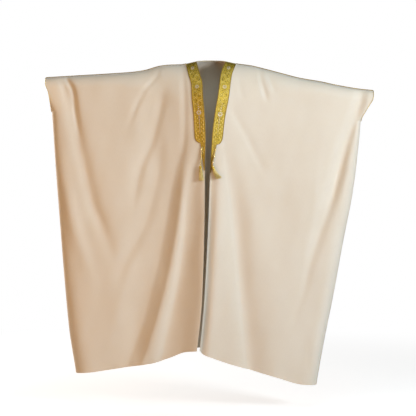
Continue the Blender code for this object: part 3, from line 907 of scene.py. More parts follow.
@dataclass(frozen=True)
class Plies:
    """Sizes of a twisted cord or a flat braid."""

    plies: int
    pitch: float  # length of one whole turn
    half_width: float  # how far a ply swings sideways
    half_height: float  # how far it swings up and down
    thread: float  # radius of one ply
    crossings: float = 1.0  # 1 for a twisted cord, 2 for a flat braid
    sides: int = 6
    step: float = 0.0012  # distance between two rings of a ply

    def lay(self, name: str, path: Array, up: Array, material: Material,
            closed: bool = False) -> Object:
        """Lay the plies along a path.

        Args:
            name: Name of the object.
            path: Points of the path.
            up: Way up at each point.
            material: Its material.
            closed: Whether the path is a loop.

        Returns:
            One mesh object with every ply.
        """
        chain = Chain(path, np.full(len(path), self.thread), closed)
        values = {**vars(self), MATERIAL.name: material}
        return PlyTree().grow(name, chain_mesh(name, [chain], [up]), values)


# Finishes


Colour = Triple
WHITE = (1.0, 1.0, 1.0, 1.0)


def principled(name: str, values: dict[str, Any]) -> tuple[Material, Wiring, Node]:
    """Make a Principled material.

    Args:
        name: Its name.
        values: Plain values of the shader's inputs.

    Returns:
        The material, its wiring and its shader node.
    """
    material = bpy.data.materials.new(name)
    material.use_nodes = True
    wiring = Wiring(material.node_tree)
    return material, wiring, wiring.feed(material.node_tree.nodes["Principled BSDF"], values)


@dataclass(frozen=True)
class Finish:
    """Base of the thread finishes: two colours mixed, and fine bumps."""

    name: str
    light: Colour
    dark: Colour
    metal: float = 0.0
    roughness: float = 0.5

    def values(self) -> dict[str, Any]:
        """Plain values of the shader's inputs."""
        return {"Metallic": self.metal, "Roughness": self.roughness}

    def drawn(self, wiring: Wiring) -> tuple[Any, Any, float, float]:
        """Base colour, height of the bumps, their strength and their depth."""
        return (*self.light, 1.0), 0.0, 0.0, 0.0

    def mixed(self, wiring: Wiring, share: Any) -> NodeSocket:
        """The light colour with a share of the dark one."""
        return wiring.add("ShaderNodeMix", {0: share, 6: (*self.light, 1.0), 7: (*self.dark, 1.0)},
                          data_type="RGBA").outputs[2]

    def make(self) -> Material:
        """Build the material.

        Returns:
            The material.
        """
        material, wiring, shader = principled(self.name, self.values())
        colour, height, strength, depth = self.drawn(wiring)
        bump = wiring.add("ShaderNodeBump", {"Strength": strength, "Distance": depth,
                                             "Height": height})
        wiring.feed(shader, {"Base Color": colour, "Normal": bump.outputs[0]})
        return material


@dataclass(frozen=True)
class WovenCloth(Finish):
    """Smooth, fine woven wool cloth with a soft sheen; the weave follows the flat cut."""

    roughness: float = 0.62
    sheen: float = 0.30
    glow: float = 0.15  # share of the light that goes into the cloth and through it
    glow_depth: float = 0.005
    thread: float = 0.0007  # width of one yarn

    def values(self) -> dict[str, Any]:
        """Plain values of the shader's inputs.

        Returns:
            Value of each input, by name.
        """
        return {**super().values(), "Specular IOR Level": 0.28, "Sheen Weight": self.sheen,
                "Sheen Roughness": 0.45, "Sheen Tint": (1.0, 0.96, 0.90, 1.0),
                "Subsurface Weight": self.glow, "Subsurface Radius": (1.0, 0.80, 0.60),
                "Subsurface Scale": self.glow_depth}

    def drawn(self, wiring: Wiring) -> tuple[Any, Any, float, float]:
        """Yarns of two colours with slubs and soft clouds, and the weave as bumps.

        Args:
            wiring: Adds the nodes.

        Returns:
            Colour, height of the bumps, their strength and their depth.
        """
        flat = wiring.add("ShaderNodeUVMap", uv_map="Cut").outputs[0]
        split = wiring.add("ShaderNodeSeparateXYZ", {0: flat})
        warp, weft = (wiring.math("SINE", wiring.math("MULTIPLY", place, TAU / self.thread))
                      for place in split.outputs[:2])
        weave = wiring.math("MULTIPLY", warp, weft)
        slub = wiring.noise(wiring.vector("MULTIPLY", flat, (900.0, 60.0, 1.0)), 1.0, 2.0)
        cloud = wiring.noise(wiring.object_place(), 5.0, 3.0)
        halves = (wiring.math("MULTIPLY", node.outputs[0], 0.5) for node in (slub, cloud))
        colour = self.mixed(wiring, wiring.ramp(wiring.math("ADD", *halves), 0.35, 0.75))
        height = wiring.math("ADD", wiring.math("MULTIPLY", weave, 0.35), slub.outputs[0])
        return colour, height, 0.22, 0.0003


@dataclass(frozen=True)
class Brocade(Finish):
    """Gold brocade ground: metal threads side by side, mottled in two golds whose light and dark
    blotches are also painted highlight and painted shade of its relief.
    """

    metal: float = 0.55
    roughness: float = 0.42
    mottle: float = 0.0040  # size of the light and dark blotches, which are painted highlight and painted shade
    thread: float = 0.0009  # width of one metal thread

    def drawn(self, wiring: Wiring) -> tuple[Any, Any, float, float]:
        """Blotches of two golds, the dark ones sunk and coloured as painted shade and the light
        ones as painted highlight, and raised threads that follow the band's flat cut.

        Args:
            wiring: Adds the nodes.

        Returns:
            Colour, height of the bumps, their strength and their depth.
        """
        flat = wiring.add("ShaderNodeUVMap", uv_map="Cut").outputs[0]
        drift = wiring.noise(flat, 160.0, 1.0).outputs["Color"]
        place = wiring.vector("ADD", flat, wiring.vector("SCALE", drift, self.mottle))
        cells = wiring.add("ShaderNodeTexVoronoi", {"Vector": place, "Scale": 1.0 / self.mottle},
                           feature="SMOOTH_F1")
        # Painted shade and highlight: the dark colour goes where the relief is sunk, the light
        # colour where it stands up.
        painted_relief_shade = wiring.ramp(cells.outputs["Distance"], 0.25, 0.75)
        colour = self.mixed(wiring, painted_relief_shade)
        across = wiring.add("ShaderNodeSeparateXYZ", {0: place}).outputs[0]
        rows = wiring.math("SINE", wiring.math("MULTIPLY", across, TAU / self.thread))
        height = wiring.math("SUBTRACT", wiring.math("MULTIPLY", rows, 0.25),
                             wiring.math("MULTIPLY", painted_relief_shade, 1.5))
        return colour, height, 0.65, 0.0005


@dataclass(frozen=True)
class MetalThread(Finish):
    """Thread wound with a flat metal strip, with painted shade in the gaps of the winding."""

    metal: float = 0.6
    roughness: float = 0.36
    winding: float = 0.0011  # length of one turn of the strip

    def drawn(self, wiring: Wiring) -> tuple[Any, Any, float, float]:
        """Painted shade of the dark colour in the low gaps between the strands, random specks of
        it, and the strands as bumps.

        Args:
            wiring: Adds the nodes.

        Returns:
            Colour, height of the bumps, their strength and their depth.
        """
        place = wiring.object_place()
        strands = wiring.add("ShaderNodeTexWave", {
            "Vector": place, "Scale": TAU / 20.0 / self.winding, "Distortion": 2.5,
            "Detail": 1.0}, bands_direction="DIAGONAL").outputs["Fac"]
        speck = wiring.noise(place, 420.0, 2.0).outputs[0]
        # Painted shade: the dark colour fills the low gaps between the strands; the specks are
        # random tone.
        gap = wiring.math("MULTIPLY", wiring.ramp(strands, 0.55, 0.05), 0.5)
        gap = wiring.math("ADD", gap, wiring.math("MULTIPLY", wiring.ramp(speck, 0.45, 0.75), 0.5))
        return self.mixed(wiring, gap), strands, 0.5, 0.0003


@dataclass(frozen=True)
class PaleFloor:
    """Pale studio floor, matt near the object, that fades into the white surroundings."""

    name: str
    colour: Colour
    near: float  # distance from the middle where the fading starts
    far: float  # distance where the floor is plain white
    lift: float = 0.66  # how much brighter it looks than its light makes it

    def make(self) -> Material:
        """Build the material.

        Returns:
            The material.
        """
        material, wiring, shader = principled(self.name, {
            "Base Color": (*self.colour, 1.0), "Roughness": 0.8, "Emission Color": WHITE})
        split = wiring.add("ShaderNodeSeparateXYZ", {0: wiring.object_place()})
        flat = wiring.add("ShaderNodeCombineXYZ", {0: split.outputs[0], 1: split.outputs[1]})
        reach = wiring.add("ShaderNodeVectorMath", {0: flat.outputs[0]}, operation="LENGTH")
        seen = wiring.add("ShaderNodeLightPath").outputs["Is Camera Ray"]
        fade = wiring.math("MULTIPLY", seen,
                           wiring.ramp(reach.outputs["Value"], self.near, self.far))
        glow = wiring.add("ShaderNodeEmission", {"Color": WHITE, "Strength": 1.0})
        wiring.feed(shader, {"Emission Strength": wiring.math("MULTIPLY", seen, self.lift)})
        blend = wiring.add("ShaderNodeMixShader", {0: fade, 1: shader.outputs[0],
                                                   2: glow.outputs[0]})
        wiring.feed(wiring.tree.nodes["Material Output"], {"Surface": blend.outputs[0]})
        return material


FINISHES = (
    WovenCloth("cream_cloth", (0.800, 0.702, 0.590), (0.760, 0.655, 0.540)),
    WovenCloth("cream_sewing", (0.700, 0.600, 0.470), (0.640, 0.540, 0.410), sheen=0.1),
    # The brocade's dark and light golds also paint the shade and highlight of its relief.
    Brocade("gold_brocade", (0.655, 0.455, 0.052), (0.225, 0.132, 0.010)),
    # The dark colour of each metal thread is painted shade in the gaps of its winding, with random
    # specks.
    MetalThread("gold_thread", (0.800, 0.590, 0.090), (0.430, 0.270, 0.025)),
    MetalThread("pale_gold_thread", (0.940, 0.780, 0.240), (0.620, 0.450, 0.070)),
    MetalThread("dark_gold_thread", (0.480, 0.310, 0.045), (0.230, 0.130, 0.015)),
    MetalThread("silver_thread", (0.900, 0.860, 0.820), (0.640, 0.580, 0.500)),
    MetalThread("tassel_thread", (0.950, 0.810, 0.380), (0.640, 0.480, 0.140)),
    MetalThread("cord_thread", (1.000, 0.850, 0.420), (0.300, 0.185, 0.030), metal=0.86,
                roughness=0.24),
)


def keep(piece: Object, slot: Slot, *nodes: str) -> Object:
    """Let a piece ride on the root and stand for its nodes.

    Args:
        piece: The finished piece.
        slot: The record's material slot; not used.
        *nodes: Solids that it stands for.

    Returns:
        The piece.
    """
    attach(piece, "root")
    if nodes:
        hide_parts(*nodes)
    LOG.info("%s: %d faces", piece.name, len(piece.data.polygons))
    return piece


def keep_set(pieces: Sequence[Object], slot: Slot, node: str) -> None:
    """Keep pieces, the first of which stands for a node."""
    for piece in pieces:
        keep(piece, slot, *([node] if piece is pieces[0] else []))


# Panels of cloth


class Rows(NamedTuple):
    """Rows of a panel: turn over the shoulder line, opening of the slit, and share of the fall."""

    turn: Array
    slit: Array
    fall: Array


@dataclass(frozen=True)
class Panel:
    """A worn panel as a fine grid, rows from shoulder to hem."""

    name: PanelName
    points: Array  # outer points, rows by columns
    normals: Array  # directions out of the cloth
    across: Array  # share of each column's way from the side edge to the middle
    flat: Array  # place of each point on the flat cut

    def up(self, row: Any, column: Any) -> Array:
        """Directions out of the cloth between rows and columns."""
        return unit(read_grid(self.normals, row, column))

    def lay(self, row: Any, column: Any, lift: Any) -> Array:
        """Points between rows and columns, moved out by a lift."""
        place = read_grid(self.points, row, column)
        return place + self.up(row, column) * np.asarray(lift)[..., None]

    def row_at(self, z: Any) -> Array:
        """Row number at a height, read down the last column."""
        heights = self.points[:, -1, 2]
        return np.interp(-np.asarray(z), -heights, np.arange(len(heights)))

    def find(self, x: float, z: float, rounds: int = 6) -> tuple[float, float]:
        """Row and column at a place seen from the front.

        Args:
            x: Sideways place.
            z: Height.
            rounds: Times that row and column are corrected in turn.

        Returns:
            The row and column numbers.
        """
        rows, columns = self.points.shape[:2]
        row, column = rows / 2.0, columns / 2.0
        for _ in range(rounds):
            line = read_grid(self.points, np.arange(rows), np.full(rows, column))
            row = float(np.interp(-z, -line[:, 2], np.arange(rows)))
            line = read_grid(self.points, np.full(columns, row), np.arange(columns))[:, 0]
            sign = 1.0 if line[-1] > line[0] else -1.0
            column = float(np.interp(sign * x, sign * line, np.arange(columns)))
        return row, column

    def marks(self, row: Array, column: Array, lift: float, pitch: float,
              size: Triple) -> list[Mark]:
        """Marks at even distances along a line on the panel.

        Args:
            row: Row numbers of the line.
            column: Column numbers of the line.
            lift: How far they lie over the cloth.
            pitch: Distance between two marks.
            size: Length, width and height of the motif.

        Returns:
            The marks.
        """
        line = self.lay(row, column, lift)
        numbers = walk(line, pitch)
        spots = along_line(line, numbers)
        ups = unit(along_line(self.up(row, column), numbers))
        ways = unit(np.gradient(spots, axis=0))
        return [Mark(*values, size) for values in zip(spots, ways, ups)]


SLIT_SHARE = {Side.RIGHT: 0.080, Side.LEFT: 0.068}


@dataclass(frozen=True)
class CloakForm:
    """Form of the worn cloak, from the part's sizes, at a finer step."""

    seam_gap: float = 0.0003  # between front and back where they meet
    side_round: float = 0.12  # rounded side of a panel, as a share of one front's width
    side_curve: float = 2.6  # power of its curve, 2 for an ellipse, more for a squarer one
    late_fall: float = 0.20  # share of the fall over which it rounds in below the slit
    late_reach: float = 0.35  # share of it that closes at the slit's foot already
    band_share: float = 0.0715  # width of the gold band, as a share of one front's width
    neck_back: float = 0.066  # how far the neck seam reaches behind the shoulder seams
    neck_rise: float = 0.008  # how far it rises there
    nape_depth: float = 0.050  # depth of the cloth just below the neck seam
    nape_width: float = 0.095  # half width of that stretch
    nape_turn: float = math.radians(45.0)  # turn over which it reaches that depth
    turn_rows: int = 24  # rows of the turn over the shoulder line
    slit_rows: int = 12  # rows of the hand slit
    lower_rows: int = 140  # rows from its foot to the hem
    hem_rows: int = 6  # extra rows in the turned hem
    hem_share: float = 0.014  # share of the fall that the hem takes
    side_columns: int = 12  # columns of the rounded side
    middle_columns: int = 116  # columns from there to the band
    band_columns: int = 12  # columns under the band
    neck_columns: int = 24  # columns round the back of the neck
    back_share: float = 0.72  # share of the middle columns that the back has
    front_width: float = 0.740  # flat width of one front
    length: float = 1.340  # flat length from shoulder seam to hem

    def flat_width(self, name: PanelName) -> float:
        """Width of a panel's flat cut."""
        return self.front_width * (2.0 if name is PanelName.BACK else 1.0)

    def half_columns(self, kept: float = 1.0) -> Array:
        """Shares across one half, closer together on the rounded side and under the band.

        Args:
            kept: Share of the middle columns that is kept.

        Returns:
            Shares from side edge to middle.
        """
        angles = QUARTER * np.arange(self.side_columns) / self.side_columns
        middle = np.linspace(self.side_round, 1.0 - self.band_share,
                             int(self.middle_columns * kept) + 1)
        band = 1.0 - self.band_share * (1.0 - np.arange(1, self.band_columns + 1)
                                        / self.band_columns)
        return np.concatenate([self.side_round * (1.0 - np.cos(angles)), middle, band])

    def rows(self, side: Side) -> Rows:
        """Rows of a panel from the shoulder seam to the hem.

        Args:
            side: Side whose hand slit is followed.

        Returns:
            Turn, opening and fall of each row.
        """
        share = SLIT_SHARE[side]
        turn = QUARTER * np.arange(self.turn_rows + 1) / self.turn_rows
        angle = QUARTER * np.arange(1, self.slit_rows + 1) / self.slit_rows
        lower = np.linspace(share, 1.0 - self.hem_share, self.lower_rows + 1)[1:]
        hem = np.linspace(1.0 - self.hem_share, 1.0, self.hem_rows + 1)[1:]
        fall = np.concatenate([share * np.sin(angle), lower, hem])
        slit = np.zeros(len(fall))
        slit[:self.slit_rows] = np.cos(angle)
        return Rows(np.concatenate([turn, np.full(len(fall), QUARTER)]),
                    np.concatenate([np.ones(len(turn)), slit]),
                    np.concatenate([np.zeros(len(turn)), fall]))

    def shoulder(self, side: Side, share: Array) -> Array:
        """Points of a shoulder seam, at shares of the way from cuff to neck.

        Args:
            side: Which seam it is.
            share: Shares of the way.

        Returns:
            The points.
        """
        line = SHOULDER_LINE[side]
        x = between(line[0].x, line[-1].x, share)
        return np.stack([x, np.zeros(len(x)), height_at(line, x)], axis=1)

    def relief(self, panel: PanelName, x: Array, z: Array, fall: Array, across: Array) -> Array:
        """How far folds, waves, creases and ripples sink the cloth inwards.

        Args:
            panel: Which panel it is.
            x: Sideways place of each point.
            z: Height of each point.
            fall: Share of the fall of each row.
            across: Share across of each column.

        Returns:
            Depth at each point.
        """
        relief = np.zeros_like(x)
        for large in FOLDS[panel]:
            top, middle, foot = (place.z for place in large.places)
            upper, lower = ease((top - z) / (top - middle)), ease((middle - z) / (middle - foot))
            depth = large.depth_mid * upper + (large.depth_foot - large.depth_mid) * lower
            relief += depth * np.exp(-((x - side_at(large.places, z)) / large.width) ** 2)
        wave = WAVES[panel]
        relief += wave.height * fall ** 2 * np.cos(TAU * wave.count * across + wave.phase)
        for fine in CREASES[panel]:
            top, foot = fine.places[0].z, fine.places[-1].z
            run = (top - foot) * CREASE_FADE
            fade = ease((top - z) / run) * ease((z - foot) / run)
            offset = x - side_at(fine.places, z)
            reach = np.where(offset < 0.0, fine.reach_low, fine.reach_high)
            relief += fine.depth * fade * np.exp(-(offset / reach) ** 2)
        for ripple in RIPPLES:
            relief += ripple.height * np.sin(TAU * (x / ripple.along_x + z / ripple.along_z)
                                             + ripple.phase)
        return relief

    def hung(self, sections: Sequence[Section], top: Array, foot_z: Array,
             across: Array, rows: Rows, nape: bool) -> tuple[Array, ...]:
        """Cloth that turns over the shoulder line and hangs, before its folds.

        Args:
            sections: Depths of the panel.
            top: Points of the top edge.
            foot_z: Height of the hem under each column.
            across: Share across of each column.
            rows: Rows of the panel.
            nape: Whether the top edge runs round the back of the neck.

        Returns:
            Depths, heights, and how loose the cloth is at each point.
        """
        turn, slit, fall = (row[:, None] for row in rows)
        depth_top, depth_hem, drop = (
            smooth(across, [row.across for row in sections], [row[field] for row in sections])
            for field in (1, 2, 3))
        start_x, start_y, start_z = top.T
        if nape:
            middle = (SHOULDER_LINE[Side.RIGHT][-1].x + SHOULDER_LINE[Side.LEFT][-1].x) / 2.0
            hollow = self.nape_depth * np.exp(-((start_x - middle) / self.nape_width) ** 2)
            start_y = between(start_y, hollow, ease(turn / self.nape_turn))
        z = between(start_z - drop * (1.0 - np.cos(turn)), foot_z, fall)
        depth = between(depth_top, depth_hem, ease(fall))
        inward = np.clip(across / self.side_round, 0.0, 1.0)
        side = (1.0 - (1.0 - inward) ** self.side_curve) ** (1.0 / self.side_curve)
        late = 1.0 - ease(fall / self.late_fall)
        slit = between(slit, np.maximum(late, slit), ease(inward / self.late_reach))
        depth = depth * (1.0 - (1.0 - slit) * (1.0 - side))
        return between(start_y, depth, np.sin(turn)), z, side * np.sin(turn)

    def finish(self, name: PanelName, points: Array, across: Array, half: int) -> Panel:
        """Give a grid its normals, level along its seams, and its flat cut.

        Args:
            name: Which panel it is.
            points: Outer points.
            across: Share across of each column.
            half: Columns of each shoulder seam.

        Returns:
            The panel.
        """
        outward, edges = (1.0, [0, -1]) if name is PanelName.BACK else (-1.0, [0])
        normals = unit(np.cross(np.gradient(points, axis=0), np.gradient(points, axis=1)))
        if normals[len(normals) // 2, normals.shape[1] // 2, 1] * outward < 0:
            normals = -normals
        seam = np.zeros(points.shape[:2], bool)
        seam[0, :half] = seam[0, -half:] = True
        seam[self.turn_rows + self.slit_rows:, edges] = True
        normals[seam, 1] = 0.0
        normals[seam] = unit(normals[seam])
        steps = np.linalg.norm(np.diff(points, axis=0), axis=2)
        fallen = np.concatenate([np.zeros((1, points.shape[1])), np.cumsum(steps, axis=0)])
        width = np.interp(np.arange(len(across)), (0, len(across) - 1), (0.0, 1.0))
        flat = np.stack([np.broadcast_to(width * self.flat_width(name), fallen.shape), -fallen],
                        axis=2)
        return Panel(name, points, normals, across, flat)

    def front(self, side: Side) -> Panel:
        """Build one front, with columns from the side edge to the front edge.

        Args:
            side: Which front it is.

        Returns:
            The panel.
        """
        name, across, rows = PanelName.front(side), self.half_columns(), self.rows(side)
        hem = FRONT_HEM[side]
        foot_z = height_at(hem, between(hem[0].x, hem[-1].x, across))
        depth, z, loose = self.hung(FRONT_SECTIONS, self.shoulder(side, across), foot_z, across,
                                    rows, False)
        x = between(side_at(SIDE_EDGE[side], z[:, 0])[:, None],
                    side_at(FRONT_EDGE[side], z[:, -1])[:, None], across)
        depth = depth - loose * self.relief(name, x, z, rows.fall[:, None], across)
        points = np.stack([x, -depth - self.seam_gap / 2.0, z], axis=2)
        return self.finish(name, points, across, len(across))

    def back(self) -> Panel:
        """Build the back, with columns from the right side edge to the left one.

        Returns:
            The panel.
        """
        share = self.half_columns(self.back_share)
        half = len(share)
        right, left = self.shoulder(Side.RIGHT, share), self.shoulder(Side.LEFT, share)[::-1]
        first, last = SHOULDER_LINE[Side.RIGHT][-1], SHOULDER_LINE[Side.LEFT][-1]
        angles = np.linspace(0.0, math.pi, self.neck_columns + 1)[1:-1]
        neck = np.stack([(first.x + last.x) / 2.0 - (last.x - first.x) / 2.0 * np.cos(angles),
                         self.neck_back * np.sin(angles),
                         first.z + self.neck_rise * np.sin(angles)], axis=1)
        top = np.concatenate([right, neck, left])
        across = np.concatenate([share, np.ones(len(angles)), share[::-1]])
        way = (top[:, 0] - top[0, 0]) / (top[-1, 0] - top[0, 0])
        foot_z = height_at(BACK_HEM, between(BACK_HEM[0].x, BACK_HEM[-1].x, way))
        parts = [self.hung(BACK_SECTIONS, top, foot_z, across, self.rows(side), True)
                 for side in Side]
        blend = ease((top[:, 0] - top[half - 1, 0]) / (top[-half, 0] - top[half - 1, 0]))
        depth, z, loose = (ours * (1.0 - blend) + theirs * blend for ours, theirs in zip(*parts))
        x = between(side_at(SIDE_EDGE[Side.RIGHT], z[:, 0])[:, None],
                    side_at(SIDE_EDGE[Side.LEFT], z[:, -1])[:, None], way)
        fall = self.rows(Side.RIGHT).fall[:, None]
        depth = depth - loose * self.relief(PanelName.BACK, x, z, fall, way)
        points = np.stack([x, depth + self.seam_gap / 2.0, z], axis=2)
        return self.finish(PanelName.BACK, points, across, half)


@dataclass(frozen=True)
class Cloth:
    """A panel as thin cloth with a turned hem."""

    thickness: float = 0.0011
    hem_width: float = 0.013
    hem_lift: float = 0.0006  # how much thicker the cloth is in the hem
    hem_step: float = 0.12  # share of the hem's width over which it thickens
    stitch: Triple = (0.0032, 0.0006, 0.0006)
    stitch_pitch: float = 0.0050
    stitch_inset: float = 0.002  # distance of the stitches from the hem's upper edge

    def build(self, panel: Panel, material: Material) -> Object:
        """Build the cloth of a panel.

        Args:
            panel: The panel's form.
            material: Its material.

        Returns:
            The object.
        """
        lengths = panel.flat[-1, :, 1][None, :] - panel.flat[:, :, 1]
        lift = self.hem_lift * ease((self.hem_width + lengths) / (self.hem_width * self.hem_step))
        outer = panel.points + panel.normals * lift[..., None]
        inner = panel.points - panel.normals * (self.thickness + lift)[..., None]
        return wall_object("cloth_" + panel.name.value, outer, inner, panel.normals, panel.flat,
                           material)

    def hem_marks(self, panel: Panel) -> list[Mark]:
        """Marks of the hem's stitches, just above its turned edge.

        Args:
            panel: The panel's form.

        Returns:
            The marks.
        """
        columns = np.arange(1, panel.points.shape[1] - 1)
        rows = np.array([np.interp(-panel.flat[-1, c, 1] - self.hem_width + self.stitch_inset,
                                   -panel.flat[:, c, 1], np.arange(len(panel.flat)))
                         for c in columns])
        return panel.marks(rows, columns.astype(float), self.hem_lift, self.stitch_pitch,
                           self.stitch)


# Gold band


EDGE_CORD = Plies(2, 0.0060, 0.0007, 0.0006, 0.0008, sides=5, step=0.0010)


@dataclass(frozen=True)
class BandShape:
    """Outline of the gold band on one front."""

    foot: float  # height where its round foot starts
    tail_start: float  # height where the pointed tail starts
    tail_end: float  # height of the tail's tip
    width: float = 0.048
    tail_width: float = 0.023  # width of the tail at its start
    tail_tip: float = 0.003
    foot_rows: int = 14

    def width_at(self, z: float) -> float:
        """Width of the band at a height.

        Args:
            z: The height.

        Returns:
            The width.
        """
        if z >= self.foot:
            return self.width
        if z >= self.tail_start:
            share = min(1.0, (self.foot - z) / (self.foot - self.tail_start))
            return between(self.tail_width, self.width, math.cos(math.asin(share)))
        return between(self.tail_width, self.tail_tip,
                       (self.tail_start - z) / (self.tail_start - self.tail_end))

    def rows(self, top: float, step: float) -> tuple[Array, Array]:
        """Rows of the band, closer together round its foot.

        Args:
            top: Height of the top edge.
            step: Distance between two rows.

        Returns:
            Heights from the top to the tail's tip, and the width at each.
        """
        straight = np.linspace(top, self.foot, max(2, int((top - self.foot) / step)))
        angles = QUARTER * np.arange(1, self.foot_rows + 1) / self.foot_rows
        foot = between(self.foot, self.tail_start, np.sin(angles))
        tail = np.linspace(self.tail_start, self.tail_end,
                           max(2, int((self.tail_start - self.tail_end) / step)))[1:]
        heights = np.concatenate([straight, foot, tail])
        return heights, np.array([self.width_at(z) for z in heights])


BAND_SHAPES = {
    Side.RIGHT: BandShape(foot=-0.324, tail_start=-0.358, tail_end=-0.483),
    Side.LEFT: BandShape(foot=-0.328, tail_start=-0.364, tail_end=-0.493),
}
MEDALLIONS = {
    Side.RIGHT: ((-0.020, 0.0085), (-0.107, 0.0090), (-0.224, 0.0120)),
    Side.LEFT: ((-0.020, 0.0085), (-0.109, 0.0090), (-0.232, 0.0120)),
}


def steps_down(top: float, foot: float, pitch: float) -> list[float]:
    """Heights from the top down to the foot, a pitch apart.

    Args:
        top: The first height.
        foot: Height that all stay above.
        pitch: Distance between two.

    Returns:
        The heights.
    """
    heights = []
    while top > foot:
        heights.append(top)
        top -= pitch
    return heights


@dataclass(frozen=True)
class GoldBand:
    """Embroidered gold band down one front edge."""

    side: Side
    panel: Panel
    form: CloakForm
    under: float = 0.0004  # lift of its underside
    thickness: float = 0.0013
    edge_round: float = 0.0025  # width over which its edges are rounded
    row_step: float = 0.0045
    columns: int = 18
    petals: int = 8
    wave: float = 0.030  # length of one wave of a vine
    swing: float = 0.0085  # how far a vine swings to each side
    leaf: float = 0.0075
    stem_thread: float = 0.00055  # radius of the thread of a stem
    line_thread: float = 0.0006  # radius of the thread of an edge line
    tendril: float = 0.0042  # radius of a tendril
    tendril_thread: float = 0.00045  # radius of its thread
    scale_pitch: float = 0.0108
    tail_pitch: float = 0.0075
    seed_pitch: float = 0.0044
    seed_inset: float = 0.0040  # distance of the seeds from the band's edges
    line_inset: float = 0.0068  # distance of the thread lines from the edges
    edge_inset: float = 0.0010  # distance of the edge cords from the edges

    @property
    def node(self) -> str:
        """Name of the band's solid."""
        return "band_" + self.side.value

    @property
    def shape(self) -> BandShape:
        """The band's outline."""
        return BAND_SHAPES[self.side]

    @property
    def top(self) -> float:
        """Height of the band's upper end."""
        return self.panel.points[0, -1, 2]

    @property
    def middle(self) -> float:
        """Distance of the middle line from the front edge."""
        return self.shape.width / 2.0

    def column_at(self, reach: Any) -> Array:
        """Column number at a distance from the front edge."""
        share = 1.0 - self.form.band_share * np.asarray(reach, float) / self.shape.width
        return np.interp(share, self.panel.across, np.arange(len(self.panel.across)))

    def at(self, reach: Any, z: Any) -> tuple[Array, Array]:
        """Points on the band's face at distances from the front edge, and the way up.

        Args:
            reach: Distances from the front edge.
            z: Heights.

        Returns:
            The points, and the way up at each.
        """
        reach, z = np.broadcast_arrays(np.asarray(reach, float), np.asarray(z, float))
        place = self.panel.row_at(z), self.column_at(reach)
        return self.panel.lay(*place, self.under + self.thickness), self.panel.up(*place)

    def mark(self, reach: float, z: float, angle: float, size: Triple,
             away: float = 0.0, turn: float = 0.0) -> Mark:
        """Mark of a motif on the band.

        Args:
            reach: Distance from the front edge.
            z: Height.
            angle: Direction, 0 away from the front edge and a quarter turn upwards.
            size: Length, width and height.
            away: How far it is moved that way.
            turn: How far it is then turned.

        Returns:
            The mark.
        """
        tiny = 0.0005
        reach, z = reach + away * math.cos(angle), z + away * math.sin(angle)
        angle += turn
        place, up = self.at(reach, z)
        ahead, _ = self.at(reach + tiny * math.cos(angle), z + tiny * math.sin(angle))
        return Mark(place, unit(ahead - place), up, size)

    def ground(self, material: Material) -> Object:
        """Ground cloth of the band, a thin strip with rounded edges.

        Args:
            material: Its material.

        Returns:
            The object.
        """
        heights, widths = self.shape.rows(self.top - 0.0002, self.row_step)
        share = (1.0 - np.cos(math.pi * np.arange(self.columns + 1) / self.columns)) / 2.0
        reach = widths[:, None] * share[::-1]
        level = self.panel.row_at(heights)[:, None] + np.zeros_like(reach)
        column = self.column_at(reach)
        edge = np.minimum(reach, widths[:, None] - reach)
        crown = np.sqrt(np.clip(edge / self.edge_round, 0.04, 1.0))
        outer = self.panel.lay(level, column, self.under + self.thickness * crown)
        inner = self.panel.lay(level, column, self.under / 2.0)
        flat = np.stack([reach, heights[:, None] + np.zeros_like(reach)], axis=2)
        return wall_object("gold_" + self.node, outer, inner, self.panel.up(level, column), flat,
                           material)

    def edge_path(self, inset: float, outer: bool) -> tuple[Array, Array]:
        """Path near an edge of the band.

        Args:
            inset: Distance from that edge.
            outer: Whether it is the edge away from the front edge.

        Returns:
            Points of the path and the way up at each.
        """
        heights, widths = self.shape.rows(self.top - 0.001, self.row_step)
        kept = widths > 2.2 * inset
        return self.at(widths[kept] - inset if outer else inset, heights[kept])

    def rosette(self, z: float, radius: float) -> tuple[list[Mark], list[Mark]]:
        """Round flower motif: silver petals, and a pale gold ring and heart.

        Args:
            z: Height of its middle.
            radius: Its radius.

        Returns:
            Marks in silver and marks in pale gold.
        """
        angles = [TAU * index / self.petals for index in range(self.petals)]
        petal = (0.72 * radius, 0.42 * radius, 0.0016)
        heart = (0.42 * radius, 0.42 * radius, 0.0022)
        silver = [self.mark(self.middle, z, angle, petal, 0.62 * radius, math.pi)
                  for angle in angles]
        gold = [self.mark(self.middle, z, angle + TAU / self.petals / 2.0,
                          (0.0022, 0.0018, 0.0012), 0.98 * radius) for angle in angles]
        return silver, [*gold, self.mark(self.middle, z, 0.0, heart)]

    def vine(self, top: float, foot: float) -> tuple[list[Chain], list[Mark]]:
        """Wavy stem between two heights, with leaves and curled tendrils.

        Args:
            top: Height where it starts.
            foot: Height where it ends.

        Returns:
            Chains of the stem and tendrils, and marks of the leaves.
        """
        waves = max(1, round((top - foot) / self.wave))
        share = np.linspace(0.0, 1.0, 14 * waves + 1)
        chains = [self.chain(self.middle + self.swing * np.sin(TAU * waves * share),
                             between(top, foot, share), self.stem_thread)]
        leaves, coil = [], np.linspace(0.0, 1.0, 16)
        angle, radius = TAU * 1.2 * coil, self.tendril * (1.0 - 0.78 * coil)
        for index in range(2 * waves):
            way = 1.0 if index % 2 == 0 else -1.0
            z = between(top, foot, (index + 0.5) / (2 * waves))
            spot = self.middle + way * self.swing
            chains.append(self.chain(spot - way * 0.0062 + way * radius * np.cos(angle),
                                     z - 0.0016 + radius * np.sin(angle),
                                     self.tendril_thread))
            for turn, away, size in ((0.55, 0.005, 1.0), (-0.55, 0.005, 1.0), (1.25, 0.001, 0.8)):
                leaves.append(self.mark(spot + way * away * math.cos(turn),
                                        z + away * math.sin(turn) * 1.3,
                                        turn if way > 0 else math.pi - turn,
                                        (self.leaf * size, self.leaf * 0.45 * size, 0.0013)))
        return chains, leaves

    def chain(self, reach: Any, z: Array, radius: float) -> Chain:
        """Thread laid on the band's face along a line."""
        return Chain(self.at(reach, z)[0], np.full(len(z), radius))

